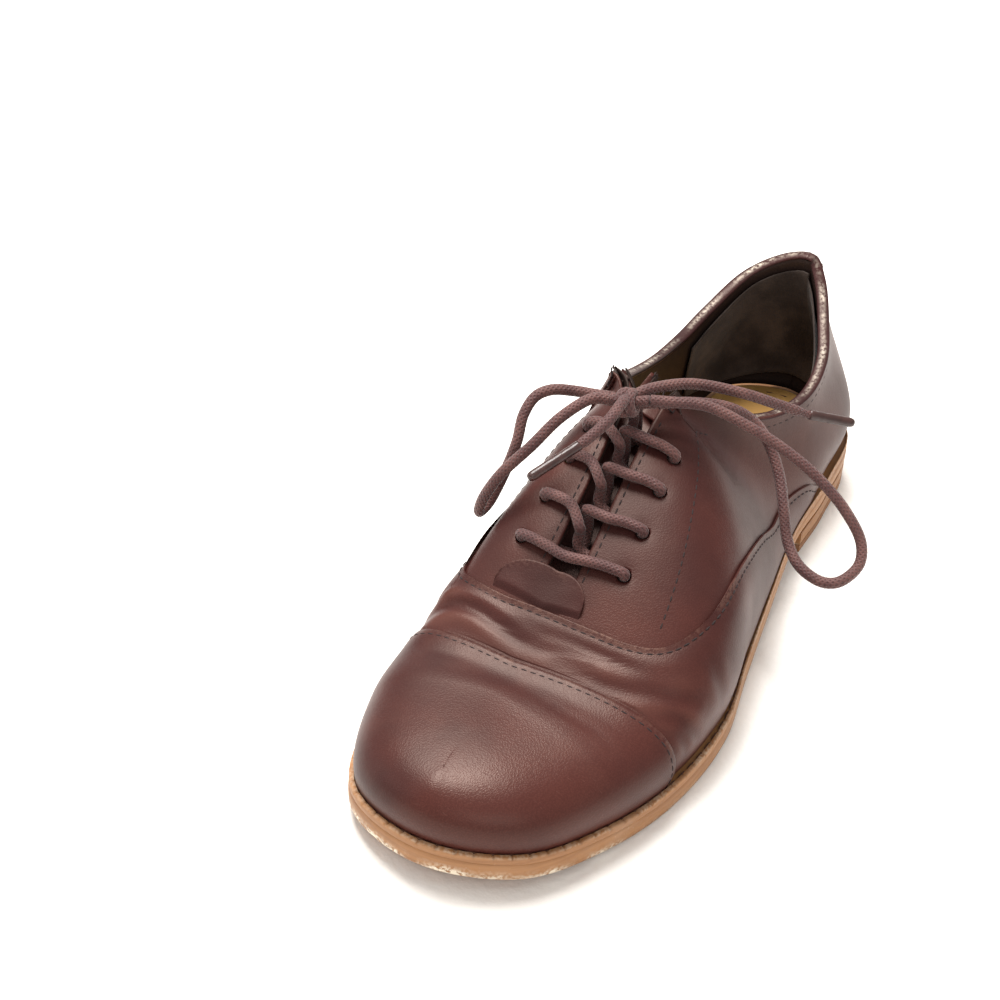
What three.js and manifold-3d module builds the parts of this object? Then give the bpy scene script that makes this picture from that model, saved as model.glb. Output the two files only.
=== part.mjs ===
// Left leather oxford shoe: cap toe, closed lacing with four pairs of plain
// punched eyelets, low heel, tied waxed laces.
//
// Working coordinates are [x, d, z] in millimetres: x points to the wearer's
// outer (lateral) side, d runs from the back of the heel (0) to the toe tip
// (262) and z points up from the ground. Every finished point is turned into
// the part's own frame, +X lateral, -Y to the toe, +Z up, with the origin under
// the centre of the shoe's bounding box.
//
// The upper is described by one surface. A station k runs from the toe tip
// (k = 0) round either side to the middle of the heel (k = 10), and v climbs
// from the featherline (v = 0) to the instep ridge or the topline (v = 1).
// Each layer of the shoe is a patch of that surface, offset along its normal.
import * as THREE from "three";
import Module from "manifold-3d";
import { mergeVertices } from "three/addons/utils/BufferGeometryUtils.js";

const wasm = await Module();
wasm.setup();

// ---------------------------------------------------------------- dimensions
const CENTRE_X = 1.3;
const CENTRE_D = 128.8;
const LATERAL = 1;
const MEDIAL = -1;

// Layers of the upper, as [inner, outer] offsets from the reference surface.
const CAP_LAYER = [0.2, 1.4];
const VAMP_LAYER = [-1.2, 0];
const PUFF_LAYER = [-1.1, -0.1];
const QUARTER_LAYER = [-2.9, -1.8];
const TAB_LAYER = [-1.2, -0.3];
const STRIP_LAYER = [-1.4, -0.6];
const VAMP_LINING_LAYER = [-4.1, -3.4];
const COUNTER_LAYER = [-4.2, -3.3];
const LINING_THICKNESS = 0.7;
const GRIP_THICKNESS = 0.5;
const GAP = 0.3;

// Stations of the seams.
const CAP_EDGE = 2.92;
const VAMP_FRONT = 2.72;
const PUFF_EDGE = 2.6;
const QUARTER_FRONT = 3.22;
const HEEL_SEAM = 9.99;
const LINING_SEAM = 9.965;

// Lacing.
const LACE_RADIUS = 1.7;
const HOLE_RADIUS = 3.0;
const EYELET_STATIONS = [3.9, 4.27, 4.66, 5.05];
const EYELET_HEIGHT = { [LATERAL]: 0.83, [MEDIAL]: 0.79 };
const LACE_OVER = 0.35;

// Sole stack, as heights above the sole's top edge.
const FEATHER_RISE = 0.7;
const SOLE_TOP = -2.0;
const WELT_TOP = -0.3;
const WELT_BOTTOM = -1.7;
const RIB_TOP = 0.9;
const HEEL_BLOCK_TOP = 8.4;
const TOP_LIFT = 3.0;

// ------------------------------------------------------------ interpolation
// A smooth curve through the values ys at the stations xs.
function smooth(xs, ys) {
  const rows = ys.map((y) => (Array.isArray(y) ? y : [y]));
  const last = xs.length - 1;
  const size = rows[0].length;
  const slope = (i, c) => (rows[i + 1][c] - rows[i][c]) / (xs[i + 1] - xs[i]);
  const tangents = rows.map((row, i) => row.map((_, c) => {
    if (i === 0) return slope(0, c);
    if (i === last) return slope(last - 1, c);
    const before = xs[i] - xs[i - 1];
    const after = xs[i + 1] - xs[i];
    return (slope(i - 1, c) * after + slope(i, c) * before) / (before + after);
  }));
  return (value) => {
    const x = Math.min(Math.max(value, xs[0]), xs[last]);
    let i = 0;
    while (i < last - 1 && x > xs[i + 1]) i += 1;
    const h = xs[i + 1] - xs[i];
    const u = (x - xs[i]) / h;
    const a = 2 * u ** 3 - 3 * u ** 2 + 1;
    const b = u ** 3 - 2 * u ** 2 + u;
    const e = u ** 3 - u ** 2;
    const out = [];
    for (let c = 0; c < size; c += 1) {
      const m0 = tangents[i][c] * h;
      const m1 = tangents[i + 1][c] * h;
      out.push(a * rows[i][c] + b * m0 + (1 - a) * rows[i + 1][c] + e * m1);
    }
    return size > 1 ? out : out[0];
  };
}

const add = (a, b, s = 1) => a.map((value, i) => value + b[i] * s);
const mix = (a, b, t) => a.map((value, i) => value * (1 - t) + b[i] * t);
const sub = (a, b) => a.map((value, i) => value - b[i]);
const dot = (a, b) => a.reduce((sum, value, i) => sum + value * b[i], 0);
const unit = (a) => a.map((value) => value / Math.hypot(...a));
const cross = (a, b) => [
  a[1] * b[2] - a[2] * b[1],
  a[2] * b[0] - a[0] * b[2],
  a[0] * b[1] - a[1] * b[0],
];
const span = (from, to, count) => Array.from({ length: count + 1 },
  (_, i) => from + ((to - from) * i) / count);

// ------------------------------------------------------------ sole outline
const LATERAL_EDGE = [
  [-4.5, 261.6], [23.2, 250.2], [38.9, 223.7], [47.6, 194.5], [49.1, 164.1], [43, 134.2],
  [37.4, 104.1], [32.5, 74], [31.5, 43.5], [25.9, 13.5], [0, 0],
];
const MEDIAL_EDGE = [
  [-4.5, 261.6], [-32.6, 251.4], [-45.3, 223], [-46.3, 193.1], [-41, 163], [-31.9, 133.8],
  [-27.9, 103.5], [-28.5, 73], [-30.5, 42.6], [-25.2, 12.4], [0, 0],
];
const ringPoints = [...LATERAL_EDGE, ...MEDIAL_EDGE.slice(1, 10).reverse()];
const ring = smooth(
  [-1, ...span(0, 19, 19), 20, 21],
  [ringPoints[19], ...ringPoints, ringPoints[0], ringPoints[1]],
);
const toeSpring = (d) => 6 * (Math.max(0, d - 195) / 67) ** 2;
const soleTop = smooth([-5, 0, 60, 120, 170, 270], [17, 17, 15.5, 10.5, 8.5, 8.5]);
const edgeInset = smooth([-5, 0, 100, 150, 180, 270], [1, 1, 1, 2, 3.2, 3.5]);

// A point of the outline at ring position q (0 toe, 10 heel), moved inwards.
function edgePoint(q, inset) {
  const here = ring(q);
  const ahead = ring(q + 0.002);
  const behind = ring(q - 0.002);
  const along = sub(ahead, behind);
  const inward = unit([along[1], -along[0]]);
  const centre = [0, 130];
  const flip = dot(inward, sub(centre, here)) < 0 ? -1 : 1;
  return { at: add(here, inward, inset * flip), out: inward.map((value) => -value * flip), d: here[1] };
}

const ringPosition = (side, k) => (side === LATERAL ? k : (20 - k) % 20);

// ------------------------------------------------------- reference surface
const ridge = smooth([0, 1, 2, 3, 3.5, 4, 5, 6], [
  [-5, 247, 31], [-6.5, 231, 32], [-8, 213, 32], [-9, 196, 34],
  [-9, 180, 43.5], [-9, 165, 52.5], [-9.5, 136, 66.5], [-10, 108, 75],
]);
const toplineStations = [6, 6.5, 7, 7.5, 8, 8.5, 9, 9.5, 9.8, 10];
const topline = {
  [LATERAL]: smooth(toplineStations, [
    [-3, 107, 75.5], [6, 97, 67], [14.5, 85, 59.5], [21, 70, 54.5], [25, 53, 54],
    [23.5, 36, 57.5], [17, 20.5, 62.5], [8.8, 7, 70], [3.4, 2.5, 74.3], [-0.5, 2.3, 75.3],
  ]),
  [MEDIAL]: smooth(toplineStations, [
    [-27, 107.5, 76.5], [-29, 96, 70], [-30, 80, 63], [-30.5, 64, 58], [-30, 47, 56.5],
    [-28, 31, 59], [-22, 14, 66], [-11, 4.8, 72.4], [-4.4, 2.5, 74.5], [-0.5, 2.3, 75.3],
  ]),
};
const ridgeTurn = smooth([0, 1, 2, 2.6, 10], [0, 55, 82, 90, 90]);
const topSteepness = smooth([0, 5, 6, 7, 10], [0, 0, 0.5, 1, 1]);
const wallBulge = {
  [LATERAL]: smooth([0, 3, 5, 7, 8.5, 10], [0.28, 0.28, 0.1, 0.06, 0.16, 0.22]),
  [MEDIAL]: smooth([0, 1, 3, 4, 5, 6, 7, 8.5, 10],
    [0.28, 0.2, 0.22, 0.2, 0.3, 0.32, 0.18, 0.16, 0.22]),
};
const wallHeight = {
  [LATERAL]: smooth([0, 1, 3, 5, 7, 10], [0.75, 0.8, 0.8, 0.6, 0.4, 0.4]),
  [MEDIAL]: smooth([0, 1, 3, 5, 7, 10], [0.75, 0.8, 0.85, 0.85, 0.4, 0.4]),
};
const ridgeReach = {
  [LATERAL]: smooth([0, 1, 3, 4, 6], [0.55, 0.6, 0.62, 0.55, 0.5]),
  [MEDIAL]: smooth([0, 1, 3, 4, 6], [0.55, 0.6, 0.75, 0.85, 0.85]),
};

const columns = new Map();

// The four control points of the section that climbs at one station.
function section(side, k) {
  const key = `${side}:${k}`;
  if (columns.has(key)) return columns.get(key);
  const foot = edgePoint(ringPosition(side, k), edgeInset(ring(ringPosition(side, k))[1]));
  const low = [foot.at[0], foot.at[1], soleTop(foot.d) + toeSpring(foot.d) + FEATHER_RISE];
  let high = null;
  if (k > 6) {
    high = topline[side](k);
  } else {
    const open = Math.max(0, (k - 3.5) / 2.5) ** 2;
    high = mix(ridge(k), topline[side](6), open);
  }
  const rise = high[2] - low[2];
  const outward = [foot.out[0], foot.out[1], 0];
  const lowHandle = add(add(low, [0, 0, 1], wallHeight[side](k) * rise), outward, wallBulge[side](k) * rise);
  const turn = THREE.MathUtils.degToRad(ridgeTurn(k));
  const flat = [Math.sin(turn) * side, Math.cos(turn), -0.03];
  const steep = [foot.out[0] * 0.1, foot.out[1] * 0.1, -1];
  const across = Math.hypot(high[0] - low[0], high[1] - low[1]);
  const blend = topSteepness(k);
  let highHandle = add(high, flat, (1 - blend) * ridgeReach[side](k) * across);
  highHandle = add(highHandle, steep, blend * 0.35 * rise);
  const result = [low, lowHandle, highHandle, high];
  columns.set(key, result);
  return result;
}

function surfacePoint(side, k, v) {
  let s = side;
  let station = k;
  let height = v;
  if (station > 10) {
    s = -s;
    station = 20 - station;
  }
  if (station < 0) {
    s = -s;
    station = -station;
  }
  if (height > 1 && station < 3.5) {
    s = -s;
    height = 2 - height;
  }
  const [p0, p1, p2, p3] = section(s, station);
  const w = 1 - height;
  return p0.map((_, i) => w ** 3 * p0[i] + 3 * w * w * height * p1[i]
    + 3 * w * height * height * p2[i] + height ** 3 * p3[i]);
}

function surfaceNormal(side, k, v) {
  if (k < 0.02) return unit(add(surfaceNormal(LATERAL, 0.03, v), surfaceNormal(MEDIAL, 0.03, v)));
  const step = 0.004;
  const top = k < 3.5 ? v + step : Math.min(1, v + step);
  const alongK = sub(surfacePoint(side, k + step, v), surfacePoint(side, k - step, v));
  const alongV = sub(surfacePoint(side, k, top), surfacePoint(side, k, Math.max(0, v - step)));
  const normal = unit(cross(alongK, alongV));
  const point = surfacePoint(side, k, v);
  const core = [-5, Math.min(Math.max(point[1], 15), 235), 22];
  return dot(normal, sub(point, core)) < 0 ? normal.map((value) => -value) : normal;
}

const cached = new Map();

// A point of the upper at an offset from the reference surface.
function upper(side, k, v, offset) {
  const key = `${side}:${k.toFixed(5)}:${v.toFixed(5)}`;
  if (!cached.has(key)) cached.set(key, [surfacePoint(side, k, v), surfaceNormal(side, k, v)]);
  const [point, normal] = cached.get(key);
  return add(point, normal, offset);
}

// A point over the slit between the facings, on the instep's middle line.
function middle(k, offset, shift = 0) {
  const base = k <= 3.5 ? ridge(k) : mix(surfacePoint(LATERAL, k, 1), surfacePoint(MEDIAL, k, 1), 0.5);
  const ahead = ridge(Math.min(k + 0.05, 6));
  const behind = ridge(Math.min(k, 5.95) - 0.05);
  const slope = unit(sub(ahead, behind));
  const normal = unit(cross([1, 0, 0], slope));
  const up = normal[2] < 0 ? normal.map((value) => -value) : normal;
  return add(add(base, up, offset), [1, 0, 0], shift);
}

// ------------------------------------------------------------ solid makers
const toFrame = ([x, d, z]) => [x - CENTRE_X, CENTRE_D - d, z];

function closedSolid(points, faces) {
  const corners = points.map(toFrame);
  let volume = 0;
  for (const [a, b, c] of faces) volume += dot(corners[a], cross(corners[b], corners[c]));
  const turned = volume < 0 ? faces.map(([a, b, c]) => [a, c, b]) : faces;
  const geometry = new THREE.BufferGeometry();
  geometry.setAttribute("position", new THREE.Float32BufferAttribute(corners.flat(), 3));
  geometry.setIndex(turned.flat());
  geometry.computeVertexNormals();
  return geometry;
}

// A sheet with two faces: rows of [outer, inner] point pairs. When the first
// row is folded, its two halves are the same points and the sheet closes there.
function sheet(rows, folded = false) {
  const height = rows.length;
  const width = rows[0].length;
  const points = [];
  const index = rows.map((row, i) => row.map((pair, j) => {
    if (folded && i === 0 && j > (width - 1) / 2) return null;
    points.push(pair[0], pair[1]);
    return points.length - 2;
  }));
  if (folded) {
    for (let j = (width + 1) / 2; j < width; j += 1) index[0][j] = index[0][width - 1 - j];
  }
  const faces = [];
  const quad = (a, b, c, d) => faces.push([a, b, c], [a, c, d]);
  for (let i = 0; i < height - 1; i += 1) {
    for (let j = 0; j < width - 1; j += 1) {
      const a = index[i][j];
      const b = index[i + 1][j];
      const c = index[i + 1][j + 1];
      const d = index[i][j + 1];
      quad(a, b, c, d);
      quad(a + 1, d + 1, c + 1, b + 1);
    }
    const last = width - 1;
    quad(index[i][0], index[i][0] + 1, index[i + 1][0] + 1, index[i + 1][0]);
    quad(index[i][last], index[i + 1][last], index[i + 1][last] + 1, index[i][last] + 1);
  }
  for (let j = 0; j < width - 1; j += 1) {
    const end = height - 1;
    if (!folded) quad(index[0][j], index[0][j + 1], index[0][j + 1] + 1, index[0][j] + 1);
    quad(index[end][j], index[end][j] + 1, index[end][j + 1] + 1, index[end][j + 1]);
  }
  return closedSolid(points, faces);
}

const layered = (side, k, v, [inner, outer]) => [upper(side, k, v, outer), upper(side, k, v, inner)];

// A patch that crosses the instep: each row climbs the lateral side to the
// ridge and goes down the medial side.
function crossingPatch(layer, rowCount, heights, place, folded) {
  const rows = span(0, 1, rowCount).map((t) => {
    const lateral = heights.map((w) => [LATERAL, ...place(LATERAL, t, w)]);
    const medial = heights.slice(0, -1).reverse().map((w) => [MEDIAL, ...place(MEDIAL, t, w)]);
    return [...lateral, ...medial].map(([side, k, v]) => layered(side, k, v, layer));
  });
  return sheet(rows, folded);
}

// Stations and heights that every patch behind the throat shares, so that
// stacked layers are faceted alike and keep their clearance.
const STATIONS = [
  3.22, 3.45, 3.7, 3.95, 4.2, 4.5, 4.8, 5.1, 5.4, 5.7, 6, 6.3, 6.6, 6.9, 7.2, 7.5, 7.8, 8.1, 8.4, 8.7,
  8.95, 9.2, 9.45, 9.7,
];
const HEIGHTS = [0, 0.1, 0.2, 0.3, 0.4, 0.5, 0.6, 0.7, 0.79, 0.87, 0.94, 1];

// The shared heights between two edges; those outside close up at the edge.
function columnHeights(low, high, heights = HEIGHTS) {
  const last = heights.length - 1;
  return heights.map((v, j) => Math.min(Math.max(v, low + 0.009 * j), high - 0.009 * (last - j)));
}

// A patch on one side between a lower and an upper edge at each station.
function sidePatch(side, start, lowEdge, highEdge, layer, end = HEEL_SEAM) {
  const stations = [...STATIONS.filter((k) => k >= start), end];
  const rows = stations.map((k) => columnHeights(lowEdge(k), highEdge(k))
    .map((v) => layered(side, k, v, typeof layer === "function" ? layer(k) : layer)));
  return sheet(rows);
}

// A patch that wraps the heel from one side to the other.
function heelPatch(start, lowEdge, highEdge, layer, heights = HEIGHTS) {
  const there = STATIONS.filter((k) => k >= start);
  const order = [
    ...there.map((k) => [LATERAL, k]),
    [LATERAL, 10],
    ...there.reverse().map((k) => [MEDIAL, k]),
  ];
  const rows = order.map(([side, k]) => columnHeights(lowEdge(k), highEdge(k), heights)
    .map((v) => layered(side, k, v, layer)));
  return sheet(rows);
}

// A solid swept through sections with the same number of corners.
function loft(sections, looped) {
  const size = sections[0].length;
  const points = sections.flat();
  const faces = [];
  const count = looped ? sections.length : sections.length - 1;
  for (let i = 0; i < count; i += 1) {
    const here = i * size;
    const next = ((i + 1) % sections.length) * size;
    for (let j = 0; j < size; j += 1) {
      const other = (j + 1) % size;
      faces.push([here + j, next + j, next + other], [here + j, next + other, here + other]);
    }
  }
  if (!looped) {
    const end = (sections.length - 1) * size;
    for (let j = 1; j < size - 1; j += 1) {
      faces.push([0, j, j + 1], [end, end + j + 1, end + j]);
    }
  }
  return closedSolid(points, faces);
}

// A plate from loops stacked upwards. partner(i) is the point across from i.
function plate(loops, partner) {
  const size = loops[0].length;
  const points = loops.flat();
  const faces = [];
  for (let level = 0; level < loops.length - 1; level += 1) {
    for (let i = 0; i < size; i += 1) {
      const here = level * size;
      const next = (i + 1) % size;
      faces.push([here + i, here + next, here + size + next], [here + i, here + size + next, here + size + i]);
    }
  }
  const top = (loops.length - 1) * size;
  for (let i = 0; i < size / 2; i += 1) {
    const corners = [i, i + 1, partner(i + 1), partner(i)].filter((value, at, all) => all.indexOf(value) === at);
    for (let c = 1; c < corners.length - 1; c += 1) {
      const triangle = [corners[0], corners[c], corners[c + 1]];
      if (new Set(triangle).size < 3) continue;
      faces.push([triangle[0], triangle[2], triangle[1]]);
      faces.push(triangle.map((value) => value + top));
    }
    if (partner(i + 1) === i + 1 || partner(i) === i + 1) break;
  }
  return closedSolid(points, faces);
}

// A round cord along a smooth path.
function cord(path, radius, steps, sides = 8) {
  const outline = new THREE.Shape(span(0, 1, sides).slice(0, -1)
    .map((t) => new THREE.Vector2(radius * Math.cos(t * 2 * Math.PI), radius * Math.sin(t * 2 * Math.PI))));
  const points = path.map((point) => new THREE.Vector3(...toFrame(point)));
  const extrudePath = new THREE.CatmullRomCurve3(points, false, "centripetal");
  return new THREE.ExtrudeGeometry(outline, { steps, bevelEnabled: false, extrudePath });
}

// ------------------------------------------------------------ boolean cuts
function toManifold(geometry) {
  const plain = geometry.clone();
  plain.deleteAttribute("normal");
  plain.deleteAttribute("uv");
  const merged = mergeVertices(plain, 1e-5);
  return new wasm.Manifold(new wasm.Mesh({
    numProp: 3,
    vertProperties: new Float32Array(merged.attributes.position.array),
    triVerts: new Uint32Array(merged.index.array),
  }));
}

function fromManifold(solid) {
  const mesh = solid.getMesh();
  const geometry = new THREE.BufferGeometry();
  geometry.setAttribute("position", new THREE.BufferAttribute(new Float32Array(mesh.vertProperties), 3));
  geometry.setIndex(new THREE.BufferAttribute(new Uint32Array(mesh.triVerts), 1));
  geometry.computeVertexNormals();
  return geometry;
}

// The four lace holes of one side, punched square to the leather.
function punchEyelets(geometry, side) {
  let solid = toManifold(geometry);
  for (const k of EYELET_STATIONS) {
    const centre = new THREE.Vector3(...toFrame(upper(side, k, EYELET_HEIGHT[side], -2.5)));
    const outer = new THREE.Vector3(...toFrame(upper(side, k, EYELET_HEIGHT[side], 4)));
    const punch = new THREE.CylinderGeometry(HOLE_RADIUS, HOLE_RADIUS, 10, 10);
    punch.applyQuaternion(new THREE.Quaternion().setFromUnitVectors(
      new THREE.Vector3(0, 1, 0), outer.sub(centre).normalize(),
    ));
    punch.translate(centre.x, centre.y, centre.z);
    solid = solid.subtract(toManifold(punch));
  }
  return fromManifold(solid);
}

// ------------------------------------------------------------ the upper
const capHeights = [0, 0.1, 0.2, 0.31, 0.42, 0.54, 0.67, 0.83, 1];
const wingEdge = {
  [LATERAL]: smooth([0, 0.12, 0.22, 0.32, 0.42, 0.52, 0.62, 0.72, 0.8, 0.88, 0.94, 1], [
    [7.8, 0], [7.62, 0.13], [7.42, 0.25], [7.0, 0.29], [6.4, 0.25], [5.4, 0.32],
    [4.6, 0.4], [3.95, 0.49], [3.55, 0.6], [3.4, 0.74], [3.4, 0.88], [3.44, 1],
  ]),
  [MEDIAL]: smooth([0, 0.12, 0.22, 0.32, 0.42, 0.52, 0.62, 0.72, 0.8, 0.88, 0.94, 1], [
    [7.8, 0], [7.62, 0.12], [7.42, 0.22], [7.0, 0.26], [6.4, 0.24], [5.4, 0.27],
    [4.6, 0.3], [3.95, 0.36], [3.6, 0.48], [3.45, 0.65], [3.4, 0.84], [3.44, 1],
  ]),
};

function makeToeCap() {
  return crossingPatch(CAP_LAYER, 11, capHeights, (side, t, w) => [CAP_EDGE * t, w], true);
}

function makeToePuff() {
  return crossingPatch(PUFF_LAYER, 9, capHeights, (side, t, w) => [PUFF_EDGE * t, 0.02 + w * 0.98], true);
}

// The vamp's lines dip on their way back, so that they don't cross where the
// wing's upper edge dips.
function makeVamp() {
  const heights = [0, 0.06, 0.12, 0.22, 0.32, 0.42, 0.47, 0.52, 0.57, 0.62, 0.72, 0.8, 0.88, 0.94, 1];
  const dip = smooth([0, 0.06, 0.12, 0.22, 0.32, 0.42, 0.52, 0.62, 1], [0, 0.02, 0.04, 0.08, 0.12, 0.06, 0.02, 0, 0]);
  return crossingPatch(VAMP_LAYER, 20, heights, (side, t, w) => {
    const rear = wingEdge[side](w);
    return [VAMP_FRONT + (rear[0] - VAMP_FRONT) * t, w + (rear[1] - w) * t - dip(w) * 4 * t * (1 - t)];
  }, false);
}

function makeVampLining() {
  const rear = smooth([0, 0.03, 0.32, 0.47, 0.62, 0.74, 1], [5.1, 5.05, 4.5, 4.0, 3.6, 3.38, 3.38]);
  return crossingPatch(VAMP_LINING_LAYER, 15, capHeights, (side, t, w) => [rear(w) * t, w], true);
}

const facingEdge = smooth([3.22, 4, 5, 5.6, 10], [0.955, 0.95, 0.975, 1, 1]);
const quarterLow = {
  [LATERAL]: smooth([3.22, 3.6, 4.2, 5.2, 6.3, 6.9, 7.2, 7.35, 7.5, 10],
    [0.6, 0.46, 0.34, 0.22, 0.14, 0.17, 0.15, 0.1, 0, 0]),
  [MEDIAL]: smooth([3.22, 3.6, 4.2, 5.2, 6.3, 6.9, 7.2, 7.35, 7.5, 10],
    [0.55, 0.36, 0.24, 0.18, 0.14, 0.16, 0.14, 0.1, 0, 0]),
};
const clampToZero = (edge) => (k) => (k >= 7.5 ? 0 : Math.max(0, edge(k)));

function makeQuarter(side) {
  const patch = sidePatch(side, QUARTER_FRONT, clampToZero(quarterLow[side]), facingEdge, QUARTER_LAYER);
  return punchEyelets(patch, side);
}

// The rear lining sits deeper, to leave room for the heel counter.
const liningTop = smooth([3, 4.2, 4.8, 5.1, 5.4, 5.7, 7, 10], [-3.5, -3.5, -3.6, -4.1, -4.5, -4.7, -4.7, -4.7]);
const liningLayer = (k) => [liningTop(k) - LINING_THICKNESS, liningTop(k)];

function makeQuarterLining(side) {
  const low = smooth([3.45, 3.7, 4.05, 4.35, 4.65, 4.95, 5.18, 5.3], [0.82, 0.68, 0.52, 0.44, 0.33, 0.18, 0.03, 0]);
  const lowEdge = (k) => (k >= 5.3 ? 0 : Math.max(0, low(k)));
  const patch = sidePatch(side, 3.45, lowEdge, facingEdge, liningLayer, LINING_SEAM);
  return punchEyelets(patch, side);
}

function makeHeelCounter() {
  const height = smooth([7.7, 8.4, 9.2, 10], [0.45, 0.66, 0.78, 0.8]);
  return heelPatch(7.8, () => 0, height, COUNTER_LAYER, HEIGHTS.slice(0, 9));
}

function makeHeelGrip() {
  const low = smooth([8, 8.5, 10], [0.42, 0.3, 0.25]);
  const high = smooth([8, 8.5, 10], [0.9, 0.95, 0.95]);
  const outer = -4.7 - LINING_THICKNESS - GAP - 0.6;
  return heelPatch(8.1, low, high, [outer - GRIP_THICKNESS, outer], HEIGHTS.slice(2));
}

function makeBackStrip() {
  return heelPatch(9.7, () => 0, () => 0.99, STRIP_LAYER);
}

// A folded edge that caps the quarter and its lining along the topline.
function makeToplineBinding() {
  const lateral = [...STATIONS.filter((k) => k > 6.2), 10];
  const stations = [
    ...lateral.map((k) => [LATERAL, k]),
    ...lateral.slice(0, -1).reverse().map((k) => [MEDIAL, k]),
  ];
  const sections = stations.map(([side, k]) => {
    const inner = liningTop(k) - LINING_THICKNESS;
    const climb = unit(sub(surfacePoint(side, k, 1), surfacePoint(side, k, 0.96)));
    const corner = (offset, lift) => add(upper(side, k, 1, offset), climb, lift);
    return [
      corner(QUARTER_LAYER[1] + 0.2, 0.6),
      corner(QUARTER_LAYER[1] - 0.1, 1.1),
      corner((QUARTER_LAYER[1] + inner) / 2, 1.5),
      corner(inner + 0.1, 1.1),
      corner(inner - 0.2, 0.6),
    ];
  });
  return loft(sections, false);
}

// The half-moon tab over the foot of the slit.
function makeThroatTab() {
  const rows = span(-1, 1, 8).map((w) => {
    const side = w >= 0 ? LATERAL : MEDIAL;
    const half = side === LATERAL ? 0.1 : 0.22;
    const v = 1 - Math.abs(w) * half;
    const reach = 3.5 + 0.26 * Math.sqrt(Math.max(0, 1 - w * w)) + 0.02;
    return span(3.47, reach, 3).map((k) => {
      const lift = Math.abs(w) < 0.01 ? mix(upper(LATERAL, k, 1, 0), upper(MEDIAL, k, 1, 0), 0.5) : null;
      if (lift) return [add(lift, [0, 0, 1], TAB_LAYER[1]), add(lift, [0, 0, 1], TAB_LAYER[0])];
      return layered(side, k, v, TAB_LAYER);
    });
  });
  return sheet(rows);
}

// The tongue hangs below the facings, clear of the laces that cross over it.
const tongueStations = [3.15, 3.5, 3.9, 4.3, 4.7, 5.1, 5.5, 5.8, 6.05, 6.3];
const tongueDepth = smooth([3.15, 3.6, 5.2, 5.7, 6], [-12.6, -12.6, -13.2, -13.2, -12]);

function tongueSurface(k, drop) {
  const reach = Math.min(k, 6);
  const extra = Math.max(0, k - 6);
  const depth = tongueDepth(reach) - drop;
  const slope = unit(sub(ridge(6), ridge(5.6)));
  const push = (point) => add(add(point, slope, extra * 26), [1, 0, 0], extra * 4);
  const lateral = (v, offset) => push(upper(LATERAL, reach, v, offset));
  const medial = (v, offset) => push(upper(MEDIAL, reach, v, offset));
  const narrow = smooth([3.15, 5.4, 6, 6.6], [0, 0, 0.18, 0.28])(k);
  return smooth([-1, -0.5, 0, 0.5, 1], [
    medial(0.66 + narrow * 1.15, -9 - drop - narrow * 9),
    medial(0.85 + narrow * 0.45, Math.min(-10, depth + 2.2) - narrow * 9),
    push(middle(reach, depth)),
    lateral(0.85 + narrow * 0.45, Math.min(-10, depth + 2.2)),
    lateral(0.66 + narrow, -8.2 - drop),
  ]);
}

function makeTongueLayer(top, bottom) {
  const rows = tongueStations.map((k) => {
    const outer = tongueSurface(k, top);
    const inner = tongueSurface(k, bottom);
    return span(-1, 1, 8).map((w) => [outer(w), inner(w)]);
  });
  return sheet(rows);
}

// ------------------------------------------------------------ the bottom
const ringSteps = span(0, 20, 60).slice(0, -1);
const acrossRing = (i) => (60 - i) % 60;

const lengthAt = (q) => ring(q)[1];

function soleLoop(inset, height, steps = ringSteps) {
  return steps.map((q) => {
    const { at, d } = edgePoint(q, typeof inset === "function" ? inset(lengthAt(q)) : inset);
    return [at[0], at[1], height(d)];
  });
}

const above = (rise) => (d) => soleTop(d) + toeSpring(d) + rise;
const soleUnder = smooth([-5, 0, 50, 70, 84, 105, 135, 195, 270],
  [8.8, 8.8, 8.8, 8.7, 5.2, 2.4, 0, 0, 0]);
const under = (rise) => (d) => Math.max(0, soleUnder(d)) + toeSpring(d) + rise;

function makeOutsole() {
  return plate([
    soleLoop(1.3, under(0)),
    soleLoop(0.1, under(1.2)),
    soleLoop(0, above(SOLE_TOP - 2)),
    soleLoop(0.5, above(SOLE_TOP)),
  ], acrossRing);
}

// The heel's outline: round the back, and straight across its front.
const heelSteps = [
  ...[7.27, 7.6, 8, 8.4, 8.8, 9.1, 9.4, 9.7, 10].map((k) => ringPosition(LATERAL, k)),
  ...[9.7, 9.4, 9.1, 8.8, 8.4, 8, 7.6, 7.24].map((k) => ringPosition(MEDIAL, k)),
];

function heelLayer(low, high, insetLow, insetHigh) {
  const count = heelSteps.length;
  return plate([
    soleLoop(insetLow + 0.8, () => low, heelSteps),
    soleLoop(insetLow, () => low + 0.8, heelSteps),
    soleLoop(insetHigh, () => high, heelSteps),
  ], (i) => count - 1 - i);
}

function makeWelt() {
  const sections = ringSteps.map((q) => {
    const ledge = edgeInset(lengthAt(q));
    const ribInner = 0.18 + 0.42 * ledge;
    const corner = (inset, rise) => {
      const { at, d } = edgePoint(q, inset);
      return [at[0], at[1], above(rise)(d)];
    };
    return [
      corner(0.2, WELT_BOTTOM),
      corner(0.15, 0.1),
      corner(0.2 + 0.1 * ledge, RIB_TOP),
      corner(ribInner, RIB_TOP),
      corner(ribInner + 0.15, WELT_TOP),
      corner(ledge + 6, WELT_TOP),
      corner(ledge + 6, WELT_BOTTOM),
    ];
  });
  return loft(sections, true);
}

const insideUpper = smooth([-5, 60, 150, 180, 270], [6.6, 6.5, 6.4, 4.9, 4.8]);

function makeInsoleBoard() {
  const inset = (d) => edgeInset(d) + insideUpper(d);
  return plate([soleLoop(inset, above(0.1)), soleLoop(inset, above(1.9))], acrossRing);
}

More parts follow.
